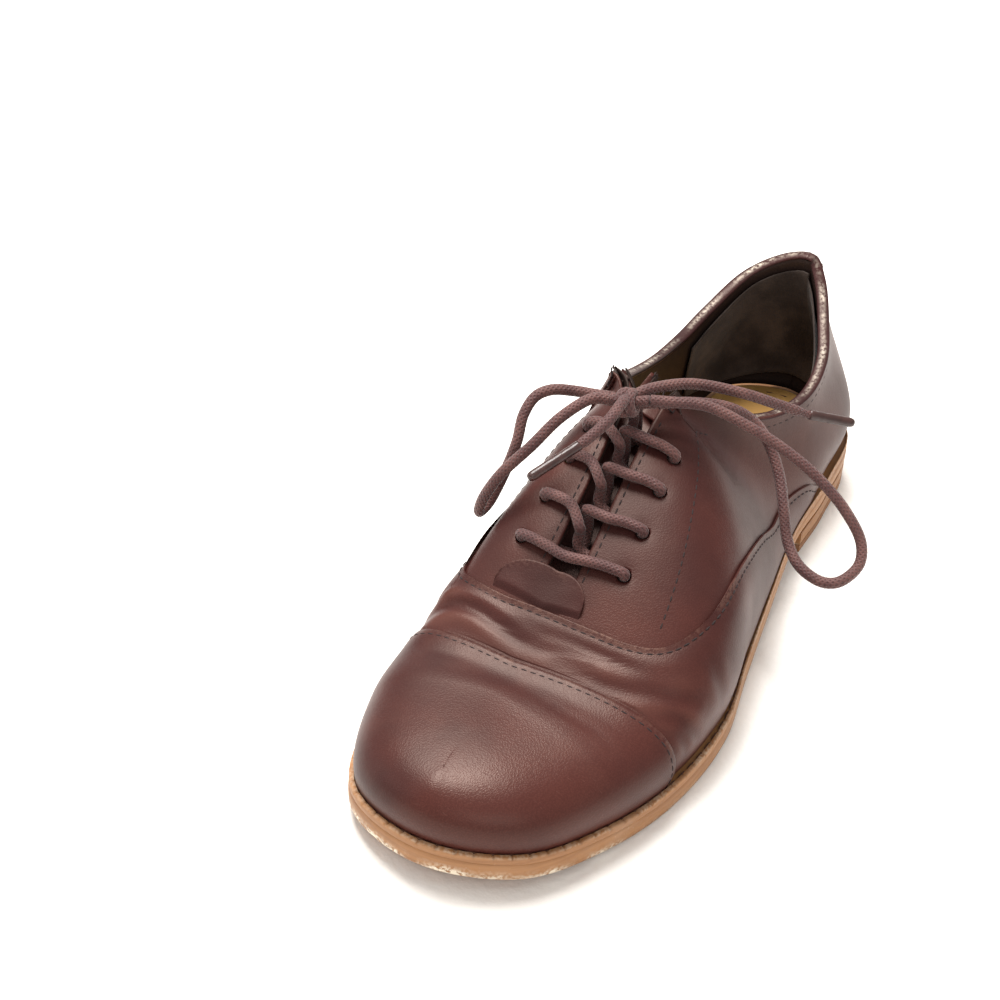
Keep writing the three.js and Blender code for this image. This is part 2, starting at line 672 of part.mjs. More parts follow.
function makeSockLiner() {
  const inset = (d) => edgeInset(d) + insideUpper(d) + 0.1;
  return plate([soleLoop(inset, above(2.2)), soleLoop(inset, above(3.6))], acrossRing);
}

function makeCorkFiller() {
  const inset = (d) => edgeInset(d) + 6.5;
  const steps = [
    ...span(5, 1, 8).map((k) => ringPosition(MEDIAL, k)),
    ...span(1, 5, 8).map((k) => ringPosition(LATERAL, k)),
  ];
  const toe = [ringPosition(MEDIAL, 0.5), ringPosition(LATERAL, 0), ringPosition(LATERAL, 0.5)];
  const all = [...steps.slice(0, 9), ...toe, ...steps.slice(9)];
  return plate([
    soleLoop(inset, above(WELT_BOTTOM), all),
    soleLoop(inset, above(-0.5), all),
  ], (i) => all.length - 1 - i);
}

function makeShank() {
  const centre = smooth([40, 80, 120, 128], [[1, 6.5], [2, 7], [4, 6], [4.5, 4.5]]);
  const sections = span(40, 128, 10).map((d) => {
    const [x, half] = centre(d);
    const low = soleTop(d) + WELT_BOTTOM;
    return [[x - half, d, low], [x + half, d, low], [x + half, d, low + 1.4], [x - half, d, low + 1.4]];
  });
  return loft(sections, false);
}

// ------------------------------------------------------------ the laces
// One end of the lace from its lowest hole to just under the knot. At each
// crossing the end that comes from the lateral side lies above the other.
function laceEnd(startSide) {
  const path = [];
  let side = startSide;
  EYELET_STATIONS.forEach((k, row) => {
    const v = EYELET_HEIGHT[side];
    const below = liningTop(k + 0.2) - LINING_THICKNESS - LACE_RADIUS - 0.45;
    path.push(upper(side, k, v, -0.5), upper(side, k, v, -3), upper(side, k + 0.02, v + 0.01, below + 0.7));
    const high = side === LATERAL;
    const next = row < 3 ? EYELET_STATIONS[row + 1] : k + 0.42;
    const turn = k + (next - k) * 0.45;
    path.push(upper(side, k + 0.07, 0.93, high ? below : below - 1.6));
    if (high) {
      path.push(middle(turn, below + 0.1));
      path.push(middle(turn + 0.075, -2.6));
      path.push(middle(turn + 0.085, 0.6));
    } else {
      path.push(middle(turn - 0.02, below - 3.9));
      path.push(middle(turn + 0.14, below - 2.7));
      path.push(middle(turn + 0.22, -2.4));
      path.push(middle(turn + 0.225, 0.6));
    }
    side = -side;
    if (row < 3) {
      path.push(upper(side, next - 0.01, 0.945, LACE_OVER + 0.7));
      path.push(upper(side, next, EYELET_HEIGHT[side] + 0.055, LACE_OVER + 0.15));
    } else {
      path.push(middle(turn + (high ? 0.13 : 0.26), 3.6));
    }
  });
  return path;
}

function makeLace() {
  const k = EYELET_STATIONS[0];
  const bar = [
    upper(MEDIAL, k, EYELET_HEIGHT[MEDIAL] + 0.05, LACE_OVER + 0.1),
    upper(MEDIAL, k, 0.93, LACE_OVER + 0.2),
    middle(k, LACE_OVER + 0.6),
    upper(LATERAL, k, 0.93, LACE_OVER + 0.2),
    upper(LATERAL, k, EYELET_HEIGHT[LATERAL] + 0.05, LACE_OVER + 0.1),
  ];
  const path = [...laceEnd(MEDIAL).reverse(), ...bar, ...laceEnd(LATERAL)];
  return cord(path, LACE_RADIUS, 130);
}

// The bow: a knot over the top of the slit, a loop and a tail on each side.
const KNOT_CENTRE = [-12.5, 122, 80.2];
const KNOT_SIZE = [5.4, 3.9, 3.5];
const BOW_RADIUS = 1.75;
const AGLET_RADIUS = 1.6;
const LATERAL_LOOP = [
  [-5.6, 120.6, 83], [-0.1, 118.2, 83], [9.7, 112.8, 82], [20.9, 109.7, 78], [32.8, 106.6, 72],
  [45.3, 105.4, 65], [56.3, 105.1, 56], [64.1, 106.9, 47], [65.9, 111.2, 42], [62.7, 118.6, 39],
  [57.8, 120.3, 38], [49.8, 119.5, 40], [43.1, 114.2, 43], [38.1, 107.8, 49], [32.1, 99.9, 56],
  [25.8, 95.7, 63], [19.8, 95.4, 69], [13.1, 100.5, 75], [4.2, 109.3, 79], [-4.6, 116.2, 79.5],
];
const LATERAL_TAIL = [
  [-9.9, 116.2, 82.2], [-6.5, 111, 82], [0.6, 101.5, 80], [13.5, 92.5, 76], [23.3, 84, 70], [31.2, 77.3, 65.2],
];
const LATERAL_AGLET = [[31.5, 77, 65.1], [43.2, 66.8, 60]];
const MEDIAL_LOOP = [
  [-17.2, 126.6, 82.6], [-21, 130, 83.4], [-26.6, 139.2, 80], [-32.1, 147.5, 72], [-39.1, 153.6, 62],
  [-43.5, 156, 52], [-44.6, 155.4, 46.5], [-43.8, 151.4, 47.5], [-41.2, 147, 57], [-39.8, 142, 67],
  [-40.6, 136.7, 74], [-39.5, 131.4, 78], [-36.4, 127, 79], [-31, 121.9, 77.6], [-25.4, 119.4, 77],
  [-19.4, 119.6, 78.4],
];
const MEDIAL_TAIL = [[-12.1, 127.6, 83.6], [-12.4, 135.3, 82], [-16.3, 146.4, 78.1]];
const MEDIAL_AGLET = [[-16.5, 146.8, 78], [-24, 164.2, 74]];

function makeKnot() {
  const lump = new THREE.SphereGeometry(1, 12, 8);
  lump.scale(...KNOT_SIZE);
  const wrap = new THREE.TorusGeometry(3.1, BOW_RADIUS, 8, 16);
  wrap.rotateY(Math.PI / 2 - 0.3);
  const [x, y, z] = toFrame(KNOT_CENTRE);
  const geometry = fromManifold(toManifold(lump).add(toManifold(wrap)));
  geometry.translate(x, y, z);
  return geometry;
}

function makeAglet([from, to]) {
  const start = new THREE.Vector3(...toFrame(from));
  const end = new THREE.Vector3(...toFrame(to));
  const along = end.clone().sub(start);
  const tube = new THREE.CylinderGeometry(AGLET_RADIUS * 0.92, AGLET_RADIUS, along.length(), 10, 2);
  tube.applyQuaternion(new THREE.Quaternion().setFromUnitVectors(
    new THREE.Vector3(0, 1, 0), along.clone().normalize(),
  ));
  const centre = start.add(end).multiplyScalar(0.5);
  tube.translate(centre.x, centre.y, centre.z);
  return tube;
}

// ------------------------------------------------------------ assembly
const leather = (color, roughness) => ({ color, roughness, metalness: 0 });
const OXBLOOD = leather(0x5a3431, 0.48);
const OXBLOOD_DARK = leather(0x46282c, 0.5);
const LINING_BROWN = leather(0x33261f, 0.85);
const OCHRE = leather(0xc9984e, 0.6);
const TAN_RUBBER = leather(0xb27848, 0.6);
const LACE_BROWN = leather(0x52292a, 0.7);
const shoe = new THREE.Group();

function addPiece(name, geometry, look) {
  const mesh = new THREE.Mesh(geometry, new THREE.MeshStandardMaterial(look));
  mesh.name = name;
  shoe.add(mesh);
}

addPiece("outsole", makeOutsole(), TAN_RUBBER);
addPiece("heel_block", heelLayer(TOP_LIFT + GAP, HEEL_BLOCK_TOP, 0.1, 0.1), TAN_RUBBER);
addPiece("heel_top_lift", heelLayer(0, TOP_LIFT, 0.3, 0.1), TAN_RUBBER);
addPiece("welt", makeWelt(), TAN_RUBBER);
addPiece("cork_filler", makeCorkFiller(), leather(0x9a7248, 0.95));
addPiece("shank", makeShank(), { color: 0x8a8d90, roughness: 0.4, metalness: 1 });
addPiece("insole_board", makeInsoleBoard(), leather(0x8c7355, 0.9));
addPiece("sock_liner", makeSockLiner(), OCHRE);
addPiece("toe_cap", makeToeCap(), OXBLOOD);
addPiece("toe_puff", makeToePuff(), leather(0xb9a88c, 0.9));
addPiece("vamp", makeVamp(), OXBLOOD);
addPiece("vamp_lining", makeVampLining(), LINING_BROWN);
addPiece("quarter_lateral", makeQuarter(LATERAL), OXBLOOD);
addPiece("quarter_medial", makeQuarter(MEDIAL), OXBLOOD);
addPiece("quarter_lining_lateral", makeQuarterLining(LATERAL), LINING_BROWN);
addPiece("quarter_lining_medial", makeQuarterLining(MEDIAL), LINING_BROWN);
addPiece("heel_counter", makeHeelCounter(), leather(0xb9a88c, 0.9));
addPiece("heel_grip", makeHeelGrip(), leather(0x3b2f27, 0.95));
addPiece("back_strip", makeBackStrip(), OXBLOOD);
addPiece("topline_binding", makeToplineBinding(), OXBLOOD_DARK);
addPiece("throat_tab", makeThroatTab(), OXBLOOD_DARK);
addPiece("tongue", makeTongueLayer(0, 1.5), OXBLOOD);
addPiece("tongue_lining", makeTongueLayer(1.9, 2.7), LINING_BROWN);
addPiece("lace", makeLace(), LACE_BROWN);
addPiece("lace_knot", makeKnot(), LACE_BROWN);
addPiece("lace_loop_lateral", cord(LATERAL_LOOP, BOW_RADIUS, 36), LACE_BROWN);
addPiece("lace_loop_medial", cord(MEDIAL_LOOP, BOW_RADIUS, 26), LACE_BROWN);
addPiece("lace_tail_lateral", cord(LATERAL_TAIL, BOW_RADIUS, 12), LACE_BROWN);
addPiece("lace_tail_medial", cord(MEDIAL_TAIL, BOW_RADIUS, 6), LACE_BROWN);
addPiece("aglet_lateral", makeAglet(LATERAL_AGLET), leather(0x8a6f66, 0.25));
addPiece("aglet_medial", makeAglet(MEDIAL_AGLET), leather(0x8a6f66, 0.25));

export default shoe;
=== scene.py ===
"""A left leather oxford shoe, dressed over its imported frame.

Lengths inside the sub-assemblies are in millimetres, in working coordinates
[x, d, z]: x to the wearer's outer side, d from the back of the heel to the toe
and z up. to_frame() turns them into the frame's metres when a mesh is made.
"""

import logging
import math
from dataclasses import dataclass, field
from enum import Enum
from typing import Callable, Sequence

import bmesh
import bpy
import numpy as np
from bpy.types import Material, Mesh, Node, NodeSocket, NodeTree, Object
from mathutils import Matrix, Vector, noise

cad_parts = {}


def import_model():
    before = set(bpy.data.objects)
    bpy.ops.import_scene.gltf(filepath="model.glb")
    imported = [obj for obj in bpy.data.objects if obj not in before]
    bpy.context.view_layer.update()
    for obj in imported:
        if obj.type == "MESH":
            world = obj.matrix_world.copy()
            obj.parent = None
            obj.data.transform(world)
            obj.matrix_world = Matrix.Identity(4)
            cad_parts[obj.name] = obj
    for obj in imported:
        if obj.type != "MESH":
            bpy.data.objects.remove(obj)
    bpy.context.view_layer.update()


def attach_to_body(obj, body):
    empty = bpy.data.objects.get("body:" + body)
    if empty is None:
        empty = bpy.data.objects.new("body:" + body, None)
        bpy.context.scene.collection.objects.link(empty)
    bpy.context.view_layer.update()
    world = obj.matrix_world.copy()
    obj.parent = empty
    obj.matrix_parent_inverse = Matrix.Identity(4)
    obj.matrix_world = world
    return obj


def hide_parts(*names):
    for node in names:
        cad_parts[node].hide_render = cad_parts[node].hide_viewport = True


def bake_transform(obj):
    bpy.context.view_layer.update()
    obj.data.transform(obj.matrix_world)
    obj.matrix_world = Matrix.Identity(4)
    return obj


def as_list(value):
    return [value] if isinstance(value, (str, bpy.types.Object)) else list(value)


LOG = logging.getLogger("shoe")
MM = 0.001
CENTRE_X = 1.3
CENTRE_D = 128.8
LINING = 0.7
STITCH_DENT = 0.16

Grid = np.ndarray
Curve = Callable[[Grid], Grid]


class Side(Enum):
    """The two sides of the shoe."""

    LATERAL = 1
    MEDIAL = -1


class Body(Enum):
    """The rigid bodies of the frame, and the flexing zone between them."""

    ROOT = "root"
    FOREFOOT = "forefoot"
    FLEXING = "flexing"


def to_frame(points: Grid) -> Grid:
    """Turns working points into the frame's metres.

    Args:
        points: Working points, millimetres, in the last axis.

    Returns:
        The same points in frame metres.
    """
    x, d, z = points[..., 0], points[..., 1], points[..., 2]
    return np.stack([x - CENTRE_X, CENTRE_D - d, z], axis=-1) * MM


def unit(vectors: Grid) -> Grid:
    """Scales vectors in the last axis to length one."""
    return vectors / np.maximum(np.linalg.norm(vectors, axis=-1, keepdims=True), 1e-12)


class Smooth:
    """A smooth curve through values at stations, held flat past its ends."""

    def __init__(self, stations: Sequence[float], values: Sequence) -> None:
        """Prepares the curve's slopes.

        Args:
            stations: Increasing stations.
            values: One number or one point for each station.
        """
        self.x = np.asarray(stations, float)
        raw = np.asarray(values, float)
        self.single = raw.ndim == 1
        self.y = raw[:, None] if self.single else raw
        width = np.diff(self.x)[:, None]
        slope = np.diff(self.y, axis=0) / width
        self.m = np.empty_like(self.y)
        self.m[0], self.m[-1] = slope[0], slope[-1]
        before, after = width[:-1], width[1:]
        self.m[1:-1] = (slope[:-1] * after + slope[1:] * before) / (before + after)

    def __call__(self, value: Grid) -> Grid:
        """Reads the curve.

        Args:
            value: Stations to read it at, any shape.

        Returns:
            Numbers of that shape, or points with one more axis.
        """
        x = np.clip(np.asarray(value, float), self.x[0], self.x[-1])
        i = np.clip(np.searchsorted(self.x, x, side="right") - 1, 0, len(self.x) - 2)
        h = (self.x[i + 1] - self.x[i])[..., None]
        u = (x - self.x[i])[..., None] / h
        a = 2 * u**3 - 3 * u**2 + 1
        b = u**3 - 2 * u**2 + u
        e = u**3 - u**2
        out = a * self.y[i] + b * h * self.m[i] + (1 - a) * self.y[i + 1] + e * h * self.m[i + 1]
        return out[..., 0] if self.single else out


def polyline(points: Sequence, spacing: float) -> Grid:
    """A smooth, evenly spaced path through points.

    Args:
        points: Points that it passes, millimetres.
        spacing: Distance between the points of the result.

    Returns:
        Points with equal spacing, first and last kept.
    """
    pts = np.asarray(points, float)
    chord = np.r_[0, np.cumsum(np.linalg.norm(np.diff(pts, axis=0), axis=1) ** 0.5)]
    fine = Smooth(chord, pts)(np.linspace(0, chord[-1], 40 * len(pts)))
    run = run_along(fine)
    even = np.linspace(0, run[-1], max(2, int(round(run[-1] / spacing)) + 1))
    return np.stack([np.interp(even, run, fine[:, c]) for c in range(3)], axis=1)


def run_along(path: Grid) -> Grid:
    """Length run from a path's start to each of its points."""
    return np.r_[0, np.cumsum(np.linalg.norm(np.diff(path, axis=0), axis=1))]


def nearest(points: Grid, path: Grid) -> Grid:
    """Distance from each point of a grid to a path's points.

    Args:
        points: Grid of points, last axis x, d, z.
        path: Points of the path.

    Returns:
        Distances with the grid's shape.
    """
    flat = points.reshape(-1, 3)
    best = np.full(len(flat), 1e9)
    for start in range(0, len(path), 40):
        part = path[start:start + 40]
        gap = ((flat[:, None, :] - part[None, :, :]) ** 2).sum(-1).min(1)
        best = np.minimum(best, gap)
    return np.sqrt(best).reshape(points.shape[:-1])


def waviness(points: Grid, size: float, seed: float) -> Grid:
    """Slow unevenness of hand-lasted leather, from -1 to 1.

    Args:
        points: Grid of points in millimetres.
        size: Width of a swell.
        seed: Moves the pattern.

    Returns:
        Values with the grid's shape.
    """
    flat = points.reshape(-1, 3) / size + seed
    return np.array([noise.noise(Vector(p)) for p in flat]).reshape(points.shape[:-1])


# The last


@dataclass
class Last:
    """The form that the shoe is pulled over: its outline and its surface."""

    feather_rise: float = 0.7
    lateral_edge: tuple = (
        (-4.5, 261.6), (23.2, 250.2), (38.9, 223.7), (47.6, 194.5), (49.1, 164.1), (43, 134.2),
        (37.4, 104.1), (32.5, 74), (31.5, 43.5), (25.9, 13.5), (0, 0),
    )
    medial_edge: tuple = (
        (-4.5, 261.6), (-32.6, 251.4), (-45.3, 223), (-46.3, 193.1), (-41, 163), (-31.9, 133.8),
        (-27.9, 103.5), (-28.5, 73), (-30.5, 42.6), (-25.2, 12.4), (0, 0),
    )

    def __post_init__(self) -> None:
        """Makes the curves of the outline and of the sections."""
        around = [*self.lateral_edge, *self.medial_edge[1:10][::-1]]
        self.ring = Smooth([-1, *range(20), 20, 21], [around[19], *around, around[0], around[1]])
        self.sole_top = Smooth([-5, 0, 60, 120, 170, 270], [17, 17, 15.5, 10.5, 8.5, 8.5])
        self.edge_inset = Smooth([-5, 0, 100, 150, 180, 270], [1, 1, 1, 2, 3.2, 3.5])
        self.ridge = Smooth([0, 1, 2, 3, 3.5, 4, 5, 6], [
            (-5, 247, 31), (-6.5, 231, 32), (-8, 213, 32), (-9, 196, 34),
            (-9, 180, 43.5), (-9, 165, 52.5), (-9.5, 136, 66.5), (-10, 108, 75),
        ])
        stations = [6, 6.5, 7, 7.5, 8, 8.5, 9, 9.5, 9.8, 10]
        self.topline = {
            Side.LATERAL: Smooth(stations, [
                (-3, 107, 75.5), (6, 97, 67), (14.5, 85, 59.5), (21, 70, 54.5), (25, 53, 54),
                (23.5, 36, 57.5), (17, 20.5, 62.5), (8.8, 7, 70), (3.4, 2.5, 74.3), (-0.5, 2.3, 75.3),
            ]),
            Side.MEDIAL: Smooth(stations, [
                (-27, 107.5, 76.5), (-29, 96, 70), (-30, 80, 63), (-30.5, 64, 58), (-30, 47, 56.5),
                (-28, 31, 59), (-22, 14, 66), (-11, 4.8, 72.4), (-4.4, 2.5, 74.5), (-0.5, 2.3, 75.3),
            ]),
        }
        self.turn = Smooth([0, 1, 2, 2.6, 10], [0, 55, 82, 90, 90])
        self.steepness = Smooth([0, 5, 6, 7, 10], [0, 0, 0.5, 1, 1])
        self.bulge = {
            Side.LATERAL: Smooth([0, 3, 5, 7, 8.5, 10], [0.28, 0.28, 0.1, 0.06, 0.16, 0.22]),
            Side.MEDIAL: Smooth([0, 1, 3, 4, 5, 6, 7, 8.5, 10],
                                [0.28, 0.2, 0.22, 0.2, 0.3, 0.32, 0.18, 0.16, 0.22]),
        }
        self.wall = {
            Side.LATERAL: Smooth([0, 1, 3, 5, 7, 10], [0.75, 0.8, 0.8, 0.6, 0.4, 0.4]),
            Side.MEDIAL: Smooth([0, 1, 3, 5, 7, 10], [0.75, 0.8, 0.85, 0.85, 0.4, 0.4]),
        }
        self.reach = {
            Side.LATERAL: Smooth([0, 1, 3, 4, 6], [0.55, 0.6, 0.62, 0.55, 0.5]),
            Side.MEDIAL: Smooth([0, 1, 3, 4, 6], [0.55, 0.6, 0.75, 0.85, 0.85]),
        }

    def toe_spring(self, d: Grid) -> Grid:
        """Lift of the sole towards the toe, for distances from the heel."""
        return 6 * (np.maximum(0, np.asarray(d) - 195) / 67) ** 2

    def around(self, side: Side, k: Grid) -> Grid:
        """Ring position of a station on one side."""
        return k if side is Side.LATERAL else (20 - k) % 20

    def edge(self, q: Grid, inset: Grid) -> tuple[Grid, Grid, Grid]:
        """Points of the outline, moved inwards.

        Args:
            q: Ring positions, 0 at the toe and 10 at the heel.
            inset: How far inwards, millimetres.

        Returns:
            Points (x, d), outward directions, and distances from the heel.
        """
        q = np.asarray(q, float)
        here = self.ring(q)
        along = self.ring(q + 0.002) - self.ring(q - 0.002)
        inward = unit(np.stack([along[..., 1], -along[..., 0]], -1))
        centre = np.array([0.0, 130.0])
        flip = np.where((inward * (centre - here)).sum(-1) < 0, -1.0, 1.0)[..., None]
        inward = inward * flip
        return here + inward * np.asarray(inset)[..., None], -inward, here[..., 1]

    def side_point(self, side: Side, k: Grid, v: Grid) -> Grid:
        """Surface points on one side.

        Args:
            side: The side.
            k: Stations from 0 to 10.
            v: Heights from 0 to 1.

        Returns:
            Points with the shape of k and v.
        """
        q = self.around(side, k)
        foot, out, d = self.edge(q, self.edge_inset(self.ring(q)[..., 1]))
        low_z = self.sole_top(d) + self.toe_spring(d) + self.feather_rise
        low = np.concatenate([foot, low_z[..., None]], -1)
        opened = (np.maximum(0, (k - 3.5) / 2.5) ** 2)[..., None]
        front = self.ridge(k) * (1 - opened) + self.topline[side](6.0) * opened
        high = np.where((k > 6)[..., None], self.topline[side](k), front)
        rise = (high[..., 2] - low[..., 2])[..., None]
        outward = np.concatenate([out, np.zeros_like(low_z)[..., None]], -1)
        up = np.array([0.0, 0.0, 1.0])
        low_handle = low + up * self.wall[side](k)[..., None] * rise
        low_handle = low_handle + outward * self.bulge[side](k)[..., None] * rise
        turn = np.radians(self.turn(k))
        flat = np.stack([np.sin(turn) * side.value, np.cos(turn), np.full_like(turn, -0.03)], -1)
        across = np.hypot(high[..., 0] - low[..., 0], high[..., 1] - low[..., 1])
        share = self.steepness(k)
        steep = outward * 0.1 - up
        high_handle = high + flat * ((1 - share) * self.reach[side](k) * across)[..., None]
        high_handle = high_handle + steep * (share * 0.35)[..., None] * rise
        v = v[..., None]
        w = 1 - v
        return w**3 * low + 3 * w * w * v * low_handle + 3 * w * v * v * high_handle + v**3 * high

    def point(self, sign: Grid, k: Grid, v: Grid) -> Grid:
        """Surface points on either side; stations and heights may pass the middle.

        Args:
            sign: 1 on the lateral side and -1 on the medial side.
            k: Stations; below 0 or above 10 they are on the other side.
            v: Heights; above 1 and before the throat they are on the other side.

        Returns:
            Points with the shape of the inputs.
        """
        sign, k, v = np.broadcast_arrays(np.asarray(sign, float), np.asarray(k, float), np.asarray(v, float))
        sign = np.where((k > 10) | (k < 0), -sign, sign)
        k = np.where(k > 10, 20 - k, np.abs(k))
        over = (v > 1) & (k < 3.5)
        sign = np.where(over, -sign, sign)
        v = np.where(over, 2 - v, v)
        lateral = self.side_point(Side.LATERAL, k, v)
        medial = self.side_point(Side.MEDIAL, k, v)
        return np.where((sign > 0)[..., None], lateral, medial)

    def normal(self, sign: Grid, k: Grid, v: Grid) -> Grid:
        """Outward directions of the surface.

        Args:
            sign: 1 on the lateral side and -1 on the medial side.
            k: Stations.
            v: Heights.

        Returns:
            Directions of length one.
        """
        sign, k, v = np.broadcast_arrays(np.asarray(sign, float), np.asarray(k, float), np.asarray(v, float))
        near_toe = k < 0.02
        kk = np.where(near_toe, 0.03, k)
        mine = self.raw_normal(sign, kk, v)
        other = self.raw_normal(-sign, kk, v)
        return np.where(near_toe[..., None], unit(mine + other), mine)

    def raw_normal(self, sign: Grid, k: Grid, v: Grid) -> Grid:
        """Outward directions away from the toe's middle line.

        Args:
            sign: 1 on the lateral side and -1 on the medial side.
            k: Stations.
            v: Heights.

        Returns:
            Directions of length one.
        """
        step = 0.004
        top = np.where(k < 3.5, v + step, np.minimum(1, v + step))
        along = self.point(sign, k + step, v) - self.point(sign, k - step, v)
        climb = self.point(sign, k, top) - self.point(sign, k, np.maximum(0, v - step))
        result = unit(np.cross(along, climb))
        here = self.point(sign, k, v)
        core = np.stack([np.full_like(k, -5), np.clip(here[..., 1], 15, 235), np.full_like(k, 22)], -1)
        away = (result * (here - core)).sum(-1)
        return result * np.where(away < 0, -1.0, 1.0)[..., None]

    def soft(self, sign: Grid, k: Grid, v: Grid) -> tuple[Grid, Grid]:
        """Surface points and outward directions, eased over the toe's middle line.

        Args:
            sign: 1 on the lateral side and -1 on the medial side.
            k: Stations.
            v: Heights.

        Returns:
            Points and directions.
        """
        reach = 0.34 * np.clip(1 - k / 0.6, 0, 1) ** 0.5
        points, ups, total = 0.0, 0.0, 0.0
        for step in np.linspace(-1, 1, 13):
            share = 1.02 - abs(step)
            points = points + share * self.point(sign, k + step * reach, v)
            across = k + step * reach
            flipped = np.where(across < 0, -sign, sign)
            ups = ups + share * self.normal(flipped, np.abs(across), v)
            total += share
        return points / total, unit(ups / total)

    def layer(self, sign: Grid, k: Grid, v: Grid, offset: Grid) -> Grid:
        """Points at an offset from the surface."""
        return self.point(sign, k, v) + self.normal(sign, k, v) * np.asarray(offset)[..., None]

    def middle(self, k: float, offset: float) -> Grid:
        """A point on the slit's middle line.

        Args:
            k: Its station.
            offset: Its height above the ridge.

        Returns:
            The point.
        """
        if k <= 3.5:
            base = self.ridge(k)
        else:
            one = np.ones(())
            base = (self.point(one, k * one, one) + self.point(-one, k * one, one)) / 2
        slope = self.ridge(min(k + 0.05, 6)) - self.ridge(min(k, 5.95) - 0.05)
        up = unit(np.cross([1.0, 0.0, 0.0], unit(slope)))
        return base + (up if up[2] > 0 else -up) * offset


LAST = Last()


def spots(rows: Sequence, offset: float) -> Grid:
    """Points of the upper from (side sign, station, height) rows, at an offset."""
    data = np.asarray(rows, float)
    return LAST.layer(data[:, 0], data[:, 1], data[:, 2], np.full(len(data), offset))


# Mesh making


def add_object(name: str, mesh: Mesh, finish: Material) -> Object:
    """Puts a mesh into the scene as a smooth-shaded piece.

    Args:
        name: The piece's name.
        mesh: Its mesh, in frame metres.
        finish: Its material.

    Returns:
        The new object.
    """
    obj = bpy.data.objects.new(name, mesh)
    bpy.context.scene.collection.objects.link(obj)
    mesh.materials.clear()
    mesh.materials.append(finish)
    mesh.polygons.foreach_set("use_smooth", [True] * len(mesh.polygons))
    return obj


def finish_mesh(name: str, verts: Grid, faces: list, weights: dict[str, Grid]) -> Mesh:
    """Makes a closed mesh with merged seams and outward faces.

    Args:
        name: The mesh's name.
        verts: Working points.
        faces: Corner indices.
        weights: Point attributes by name.

    Returns:
        The mesh in frame metres.
    """
    mesh = bpy.data.meshes.new(name)
    mesh.from_pydata(to_frame(verts).tolist(), [], faces)
    for key, values in weights.items():
        attribute = mesh.attributes.new(key, "FLOAT", "POINT")
        attribute.data.foreach_set("value", np.asarray(values, np.float32))
    work = bmesh.new()
    work.from_mesh(mesh)
    bmesh.ops.remove_doubles(work, verts=work.verts, dist=2e-6)
    bmesh.ops.dissolve_degenerate(work, edges=work.edges, dist=1e-7)
    bmesh.ops.recalc_face_normals(work, faces=work.faces)
    work.to_mesh(mesh)
    work.free()
    return mesh


def grid_faces(rows: int, columns: int, start: int, wrap: bool = False) -> list:
    """Quads of a grid of vertices.

    Args:
        rows: Rows of vertices.
        columns: Vertices in a row.
        start: Index of the first vertex.
        wrap: Whether the last column joins the first.

    Returns:
        Lists of four indices.
    """
    r = np.arange(rows - 1)[:, None] * columns + start
    c = np.arange(columns if wrap else columns - 1)[None, :]
    n = (c + 1) % columns
    quads = np.stack([r + c, r + n, r + columns + n, r + columns + c], -1)
    return quads.reshape(-1, 4).tolist()


def rim(shape: tuple[int, int], folded: bool) -> list[tuple[int, int, int, int]]:
    """The border of a grid as (row, column, inner row, inner column), in order.

    Args:
        shape: Rows and columns.
        folded: Whether the first row closes on itself and has no wall.

    Returns:
        The border's cells, going round once.
    """
    rows, columns = shape
    cells = [(i, 0, i, 1) for i in range(rows)]
    cells += [(rows - 1, j, rows - 2, j) for j in range(1, columns)]
    cells += [(i, columns - 1, i, columns - 2) for i in range(rows - 2, -1, -1)]
    if not folded:
        cells += [(0, j, 1, j) for j in range(columns - 2, 0, -1)]
    return cells


def sheet_mesh(
    name: str,
    outer: Grid,
    inner: Grid,
    weights: dict[str, Grid] | None = None,
    folded: bool = False,
) -> Mesh:
    """A skin of leather or cloth with two faces and a rounded edge.

    Args:
        name: The mesh's name.
        outer: Rows and columns of outer points.
        inner: The same for the inner face.
        weights: Attributes of the outer points.
        folded: Whether the first row closes on itself.

    Returns:
        The mesh.
    """
    rows, columns = outer.shape[:2]
    count = rows * columns
    cells = rim((rows, columns), folded)
    bulged = []
    for i, j, a, b in cells:
        half = (outer[i, j] + inner[i, j]) / 2
        thick = np.linalg.norm(outer[i, j] - inner[i, j])
        away = unit(outer[i, j] + inner[i, j] - outer[a, b] - inner[a, b])
        bulged.append(half + away * thick * 0.42)
    verts = np.concatenate([outer.reshape(-1, 3), inner.reshape(-1, 3), np.array(bulged)])
    faces = grid_faces(rows, columns, 0) + [face[::-1] for face in grid_faces(rows, columns, count)]
    total = len(cells)
    last = total - 1 if folded else total
    for at in range(last):
        i, j = cells[at][:2]
        m, n = cells[(at + 1) % total][:2]
        here, there = i * columns + j, m * columns + n
        mid, mid_next = 2 * count + at, 2 * count + (at + 1) % total
        faces.append([here, there, mid_next, mid])
        faces.append([mid, mid_next, there + count, here + count])
    if folded:
        first, final = 2 * count, 2 * count + total - 1
        faces.append([0, first, columns - 1])
        faces.append([first, count, count + columns - 1])
        verts[final] = verts[first]
    padded = {}
    for key, values in (weights or {}).items():
        flat = np.asarray(values, float).reshape(-1)
        edge = np.array([flat[i * columns + j] for i, j, _, _ in cells])
        padded[key] = np.concatenate([flat, np.zeros(count), edge])
    return finish_mesh(name, verts, faces, padded)


def loop_mesh(name: str, levels: Grid, weights: dict[str, Grid] | None = None) -> Mesh:
    """A solid swept round a closed ring: the profile's ends join.

    Args:
        name: The mesh's name.
        levels: Profile points by ring points.
        weights: Attributes with the shape of levels.

    Returns:
        The mesh.
    """
    closed = np.concatenate([levels, levels[:1]])
    faces = grid_faces(closed.shape[0], closed.shape[1], 0, wrap=True)
    flat = {key: np.concatenate([w, w[:1]]).reshape(-1) for key, w in (weights or {}).items()}
    return finish_mesh(name, closed.reshape(-1, 3), faces, flat)


